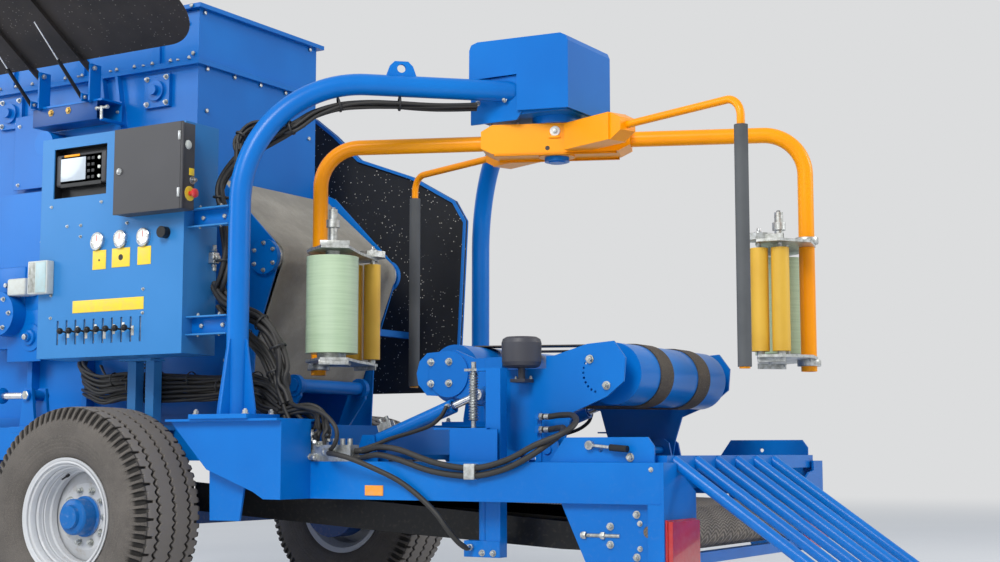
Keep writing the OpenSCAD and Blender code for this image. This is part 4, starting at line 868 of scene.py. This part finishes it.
for name, (count, diameter, spread, ties, route) in harness.items():
    line = bundle("harness_" + name, route, count, diameter, spread)
    for k, share in enumerate(ties):
        tie(f"harnessTie_{name}{k}", line, share, spread * (1.25 if count > 3 else 1.0) + diameter / 2 + 3)

# single hoses from the bunch beside the arch to the valve block on the rail
feeds = [
    [(1045, 960, 1190), (1010, 985, 1120), (960, 1000, 1050), (925, 1003, 990), (900, 1000, 950)],
    [(1050, 950, 1170), (1020, 975, 1100), (985, 990, 1020), (955, 1000, 950), (935, 1004, 900)],
    [(1030, 945, 1180), (980, 960, 1110), (910, 975, 1060), (860, 980, 1010), (842, 975, 975)],
    [(1020, 960, 1160), (940, 985, 1122), (850, 1000, 1110), (745, 1012, 1082), (668, 1020, 1020),
     (655, 1022, 960), (690, 1018, 910), (745, 1008, 893)],
    [(1020, 940, 1150), (950, 930, 1105), (880, 925, 1060), (800, 930, 1010), (770, 935, 975)],
]
for k, route in enumerate(feeds):
    line = bundle(f"feedHose{k}", route, 1, 22, 0)
    tie(f"feedFerrule{k}", line, 0.93, 14, 17, "zinc")
    tie(f"feedNut{k}", line, 0.99, 17, 8, "zinc")

for name, low, high in (("Body", (742, 922, 852), (905, 982, 905)), ("Top", (770, 930, 905), (880, 975, 948)),
                        ("Side", (890, 940, 862), (930, 990, 940)), ("Low", (800, 980, 856), (900, 1004, 888))):
    roundedBox("valve" + name, low, high, "zinc", 0.004)
# fittings of the valve block: place, way, size and length
for k, row in enumerate([
        ((905, 1000, 940), (0.35, 0.2, 1), 15, 60), ((936, 1003, 905), (0.2, 0.1, 1), 14, 62),
        ((842, 972, 948), (0.1, 0, 1), 15, 58), ((770, 935, 948), (-0.1, 0, 1), 14, 60),
        ((760, 985, 892), (-1, 0.15, 0.1), 15, 66), ((800, 985, 930), (-0.3, 1, 0.4), 13, 46),
        ((870, 985, 925), (0.2, 1, 0.2), 16, 42), ((835, 1003, 872), (-0.9, 0.4, -0.1), 13, 60),
        ((742, 960, 880), (-1, 0, 0), 15, 52), ((905, 985, 868), (1, 0.3, -0.3), 12, 40)]):
    fitting(f"valveFitting{k}", *row)
fitting("coilCap", (815, 975, 948), (0, 0.3, 1), 16, 34, finish="blackPlastic")

# ends of the table's hoses and of the cutter's hose, and the take-up screws on the rear plates
hoseEnds = {"tableTop": ((-290, 702, 1060), "rear", 17, 52), "tableLow": ((-290, 702, 1000), "rear", 17, 52),
            "cutterHigh": ((700, 985, 890), "left", 16, 40), "cutterLow": ((-10, 862, 455), "left", 16, 44),
            "takeUpFront": ((-668, 956, 532), "front", 17, 26), "takeUpRear": ((-760, 956, 532), "front", 17, 22)}
for name, row in hoseEnds.items():
    fitting("hoseEnd_" + name, *row)
for y in (956, -956):
    turned(f"takeUpScrew{y}", [(0, 0)] + [(9 if k % 2 else 7.4, 1 + 3 * k) for k in range(54)] + [(0, 164)],
           (-832, y, 532), "front", "zinc", segments=16)

# valve on the cabinet's rear side and the webs of the four ties that hold the cabinet to the arch
for k, (dx, dz, way) in enumerate(((0, 0, "rear"), (0, 34, "up"), (0, -34, "down"), (-14, 0, "left"))):
    fitting(f"sideValve{k}", (1478 + dx, 990, 1892 + dz), way, 13, 34)
for low, high in ((1488, 1570), (2038, 2120)):
    roundedBox(f"tieWeb{low}", (1238, 1120, low), (1500, 1126, high), "blue", 0.0015)
    for x in (1290, 1430):
        fitting(f"tieNut{low}_{x}", (x, 1126, (low + high) / 2), "left", 11, 14)

# valve's body, reader at the panel's front edge with its grooves, and plates and box on the drive's left side
boxes({"sideValveBody": ((1462, 968, 1864), (1500, 1012, 1920), "zinc", 0.004),
       "readerCase": ((2416, panel, 1736), (2562, 1253, 1914), "lightGrey", 0.006),
       "readerFace": ((2422, 1251, 1742), (2498, 1257, 1908), "readerFace", 0.003),
       "drivePlate0": ((3040, 690, 1420), (3320, 702, 1720), "blue", 0.004),
       "drivePlate1": ((3180, 690, 1760), (3420, 708, 1980), "blue", 0.004),
       "driveBox": ((3080, 705, 1800), (3230, 800, 1900), "lightGrey", 0.012)})
for k in range(5):
    roundedBox(f"readerRib{k}", (2506 + 10 * k, 1251, 1744), (2511 + 10 * k, 1257, 1906), "zinc", 0.0012)

# hubs and shafts of the drive, and the cylinder to the clevis
for k, (x, z, r) in enumerate(((3120, 1560, 80), (3290, 1870, 66), (3010, 1930, 52))):
    turned(f"driveHub{k}", [(0, 46), (r * 0.3, 46), (r * 0.35, 30), (r * 0.55, 28), (r * 0.6, 12), (r, 10), (r, 0)],
           (x, driveFace, z), "left", "blue")
    turned(f"driveShaft{k}", [(0, 62), (r * 0.2, 61), (r * 0.22, 44)], (x, driveFace, z), "left", "steel")
turned("towBarrel", [(0, 0), (30, 0), (46, 8), (46, 400), (0, 400)], (3110, 900, 1214), "front", "blue")
turned("towRod", [(0, 0), (19, 0), (19, 280), (0, 280)], (2840, 900, 1212), "front", "chrome")
turned("clevisCap", [(0, 5), (22, 5), (26, 2), (26, 0)], (2840, 989, 1210), "left", "zinc", segments=6)
print("hoses, fittings and drive pieces done")


# tilt cylinders: port block at the foot, and the curved hose to the rod end's port

tiltRoute = [(806, 925, 905), (779, 912, 908), (730, 885, 905), (671, 835, 905), (600, 785, 930), (515, 763, 962),
             (400, 757, 990), (290, 760, 1022), (228, 764, 1062), (204, 758, 1100), (200, 752, 1114)]
for side, way in bothSides:
    body, across = "barrel_" + way, side * 702
    slab(f"tiltBlock{body}", (626, across, 1009), (552, across, 1036), 36, 32, "zinc", body)
    for k, (x, z) in enumerate(((612, 1029), (576, 1042))):
        fitting(f"tiltPort{body}{k}", (x, across, z), (0.35, side * 0.2, 0.93), 12, 34, body)
    fitting(f"tiltEnd{body}", (200, side * 733, 1116), (0.2, side * 0.97, -0.1), 13, 20, body)
    hose = tubes(f"tiltCurve{body}", [smoothRoute([(x, side * y, z) for x, y, z in tiltRoute])], 0.020)
    piece = put(f"tiltHose{body}", bpy.data.meshes.new_from_object(hose))
    bpy.data.objects.remove(hose)
    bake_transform(piece)


# film units: guide rod, folded edges of the plates, clamp rings, and caps over the rollers' gears and the spindle
for unit, turn in units:
    for level, z, shift in (("top", plateTop, 12), ("low", plateLow, -10)):
        for name, height, ends in (("Edge", 26, ((18.6, 1084), (18.6, 1236))),
                                   ("Side", 22, ((-13, 1052), (-13.6, 1190)))):
            p, q = [onUnit(turn + a, r, 0, z + shift) for a, r in ends]
            slab(f"plate{name}_{unit}_{level}", p, q, 10, height, "zinc", "rotor")
        turned(f"clampRing_{unit}_{level}", [(42, -16), (58, -16), (60, -12), (60, 12), (58, 16), (42, 16)],
               onUnit(turn, 1280, 0, z + shift * 1.6), "up", "zinc", "rotor")
    turned(f"guideRod_{unit}", [(0, 0), (9, 0), (9, 584), (0, 584)], onUnit(turn - 4, 1180, 0, plateLow + 3), "up",
           "zinc", "rotor", 16)
    for r, rise in ((1056, 34), (1160, 0)):
        turned(f"rollerCap_{unit}{r}", [(0, 30), (8, 30), (10, 26), (10, 12), (24, 10), (26, 0), (0, 0)],
               onUnit(turn - 10.5, r, 0, plateTop + rise), "up", "steel", "rotor")
    turned(f"spindleCap_{unit}", [(0, 12), (9, 12), (12, 8), (12, 0)], onUnit(turn + 11.5, 1170, 0, 2150), "up",
           "steel", "rotor")

# rotor beam: bolted disc and slot on each face, nuts and stiffeners under the bar brackets
for unit, turn in units:
    face = onUnit(turn, 0, 1, 0)
    turned(f"beamDisc_{unit}", [(0, 8), (24, 8), (27, 5), (27, 0)], onUnit(turn, -2, 100, 2557), face, "white", "rotor")
    fitting(f"beamBolt_{unit}", onUnit(turn, -2, 106, 2557), face, 13, 14, "rotor")
    turned(f"beamPlug_{unit}", [(0, 2), (11, 2), (12, 0)], onUnit(turn, 38, 100, 2469), face, "blackPlastic", "rotor")
    for name, x, z, length, height, finish in (("Tab", -30, 2527, 60, 14, "orange"),
                                               ("Pin", -172, 2530, 8, 92, "steel")):
        p, q = onUnit(turn, x, 104, z), onUnit(turn, x + length, 104, z)
        slab(f"beam{name}_{unit}", p, q, 8, height, finish, "rotor")
    for k, x in enumerate((-250, -215, -160)):
        fitting(f"beamNut_{unit}{k}", onUnit(turn, x, 84, 2476), "down", 11, 18, "rotor")
    for y in (96, -96):
        slab(f"beamLip_{unit}{y}", onUnit(turn, -320, y, 2440), onUnit(turn, 320, y, 2440), 6, 10, "orange", "rotor")

# zinc tabs beside the levers' slots
leverTabs = {"width": 19, "height": 50, "rises": (-8, 12, 4, -18, 10, -12, 6, -4)}
for k, rise in enumerate(leverTabs["rises"]):
    x, z = 1845 + 66 * k, 1500 + rise
    roundedBox(f"leverTab{k}", (x - leverTabs["width"], panel, z), (x, panel + 2, z + leverTabs["height"]), "zinc",
               0.0008)

# release lever on the side of the feed housing, and the box under the hood's hinge posts
boxes({"releaseArm": ((2548, 575, 2776), (2560, 760, 2796), "blue", 0.003),
       "hoodBoxFront": ((2600, 738, 2794), (3120, 744, 2900), "navy", 0.003),
       "hoodBoxLow": ((2600, 600, 2794), (3120, 740, 2800), "navy", 0.002)})
turned("releaseStem", [(0, 0), (9, 0), (9, 76), (0, 76)], (2554, 752, 2786), "up", "zinc", segments=20)
turned("releaseBar", [(0, 0), (10, 0), (12, 3), (12, 15), (8, 20), (8, 76), (12, 81), (12, 93), (10, 96), (0, 96)],
       (2502, 752, 2852), "front", "zinc", segments=20)

# bolts of the box, of the hood's hinges, struts and rim, and at the housing's corners
for x in (2828, 2969):
    turned(f"hoodBoxBolt{x}", [(0, 12), (12, 12), (15, 9), (15, 4), (22, 3), (23, 0)], (x, 744, 2868), "left",
           "brass", segments=6)
for x in (2640, 3050):
    for way, place in (("rear", x - 14), ("front", x + 2)):
        fitting(f"hingeBolt{x}{way}", (place, 750, 3090), way, 14, 16)
    fitting(f"strutFoot{x}", (x + 26, 780, 2920), "rear", 11, 14)
for x in (1965, 2230, 2490, 2750):
    fitting(f"hoodRimBolt{x}", (x + 180, 575, 3112), "up", 9, 9)
leftCorners = [(2045, 575, 3418), (2100, 541, 3330), (2056, 541, 3150)]
rearCorners = [(2020, y, z) for y, z in (
    (500, 3390), (470, 3068), (470, 2826), (-470, 3390), (-470, 3068), (-470, 2826), (0, 3068), (235, 3068),
    (-235, 3068))]
for k, place in enumerate(leftCorners + rearCorners):
    fitting(f"cornerBolt{k}", place, "left" if place in leftCorners else "rear", 12, 12)
print("film units, rotor beam and hood details done")


# floor, backdrop and light

backdrop = "DCDDDE"


def makeStage():
    shape = bmesh.new()
    bmesh.ops.create_grid(shape, x_segments=1, y_segments=1, size=60)
    mesh = bpy.data.meshes.new("floor")
    shape.to_mesh(mesh)
    shape.free()
    f = Finish("paleFloor")
    far = f.radius((0, 0), ("x", "y")).step(9, 26)
    near = f.mix(f.noise(0.6, 3), colour("F0F0F0"), colour("EBEBEC"))
    f.surface(f.mix(far, near, (0, 0, 0, 1)), 0.9, Specular_IOR_Level=0.0, Emission_Strength=1.0,
              Emission_Color=f.mix(far, (0, 0, 0, 1), colour(backdrop)))
    mesh.materials.append(f.material)
    put("floor", mesh)


def makeLight(name, place, target, size, power, tint):
    data = bpy.data.lights.new(name, "AREA")
    data.shape = "DISK"
    data.size = size
    data.energy = power
    data.color = tint
    aim(put(name, data), place, Vector(target) - Vector(place))


def makeWorld(strength):
    # plain backdrop where the camera or a mirror sees it, soft sky light elsewhere
    world = bpy.data.worlds.new("paleSky")
    world.use_nodes = True
    bpy.context.scene.world = world
    sky = Tree(world.node_tree)
    sky.tree.nodes.clear()
    rays = sky.tree.nodes.new("ShaderNodeLightPath").outputs
    seen = [Wire(sky, rays[f"Is {kind} Ray"]) for kind in ("Camera", "Transmission", "Glossy")]
    soft = sky.node("ShaderNodeBackground", {}, {"Color": (0.86, 0.92, 1.0, 1), "Strength": strength})
    plain = sky.node("ShaderNodeBackground", {}, {"Color": colour(backdrop), "Strength": 1})
    both = sky.node("ShaderNodeMixShader", {}, {0: seen[0].top(seen[1]).top(seen[2]), 1: soft, 2: plain})
    sky.node("ShaderNodeOutputWorld", {}, {"Surface": both})


lights = {"key": ((-3.0, 10.5, 8.5), (0, 0, 1.2), 5.0, 1050, (1.0, 0.98, 0.94)),
          "fill": ((7.0, 6.0, 5.0), (0.5, 0, 1.5), 5.0, 220, (0.94, 0.97, 1.0)),
          "back": ((-9.5, -4.0, 5.5), (0, 0, 1.5), 4.0, 260, (1.0, 1.0, 1.0))}
makeStage()
for name, row in lights.items():
    makeLight(name, *row)
makeWorld(0.58)
bpy.context.scene.view_settings.view_transform = "Standard"
print("stage and light done")
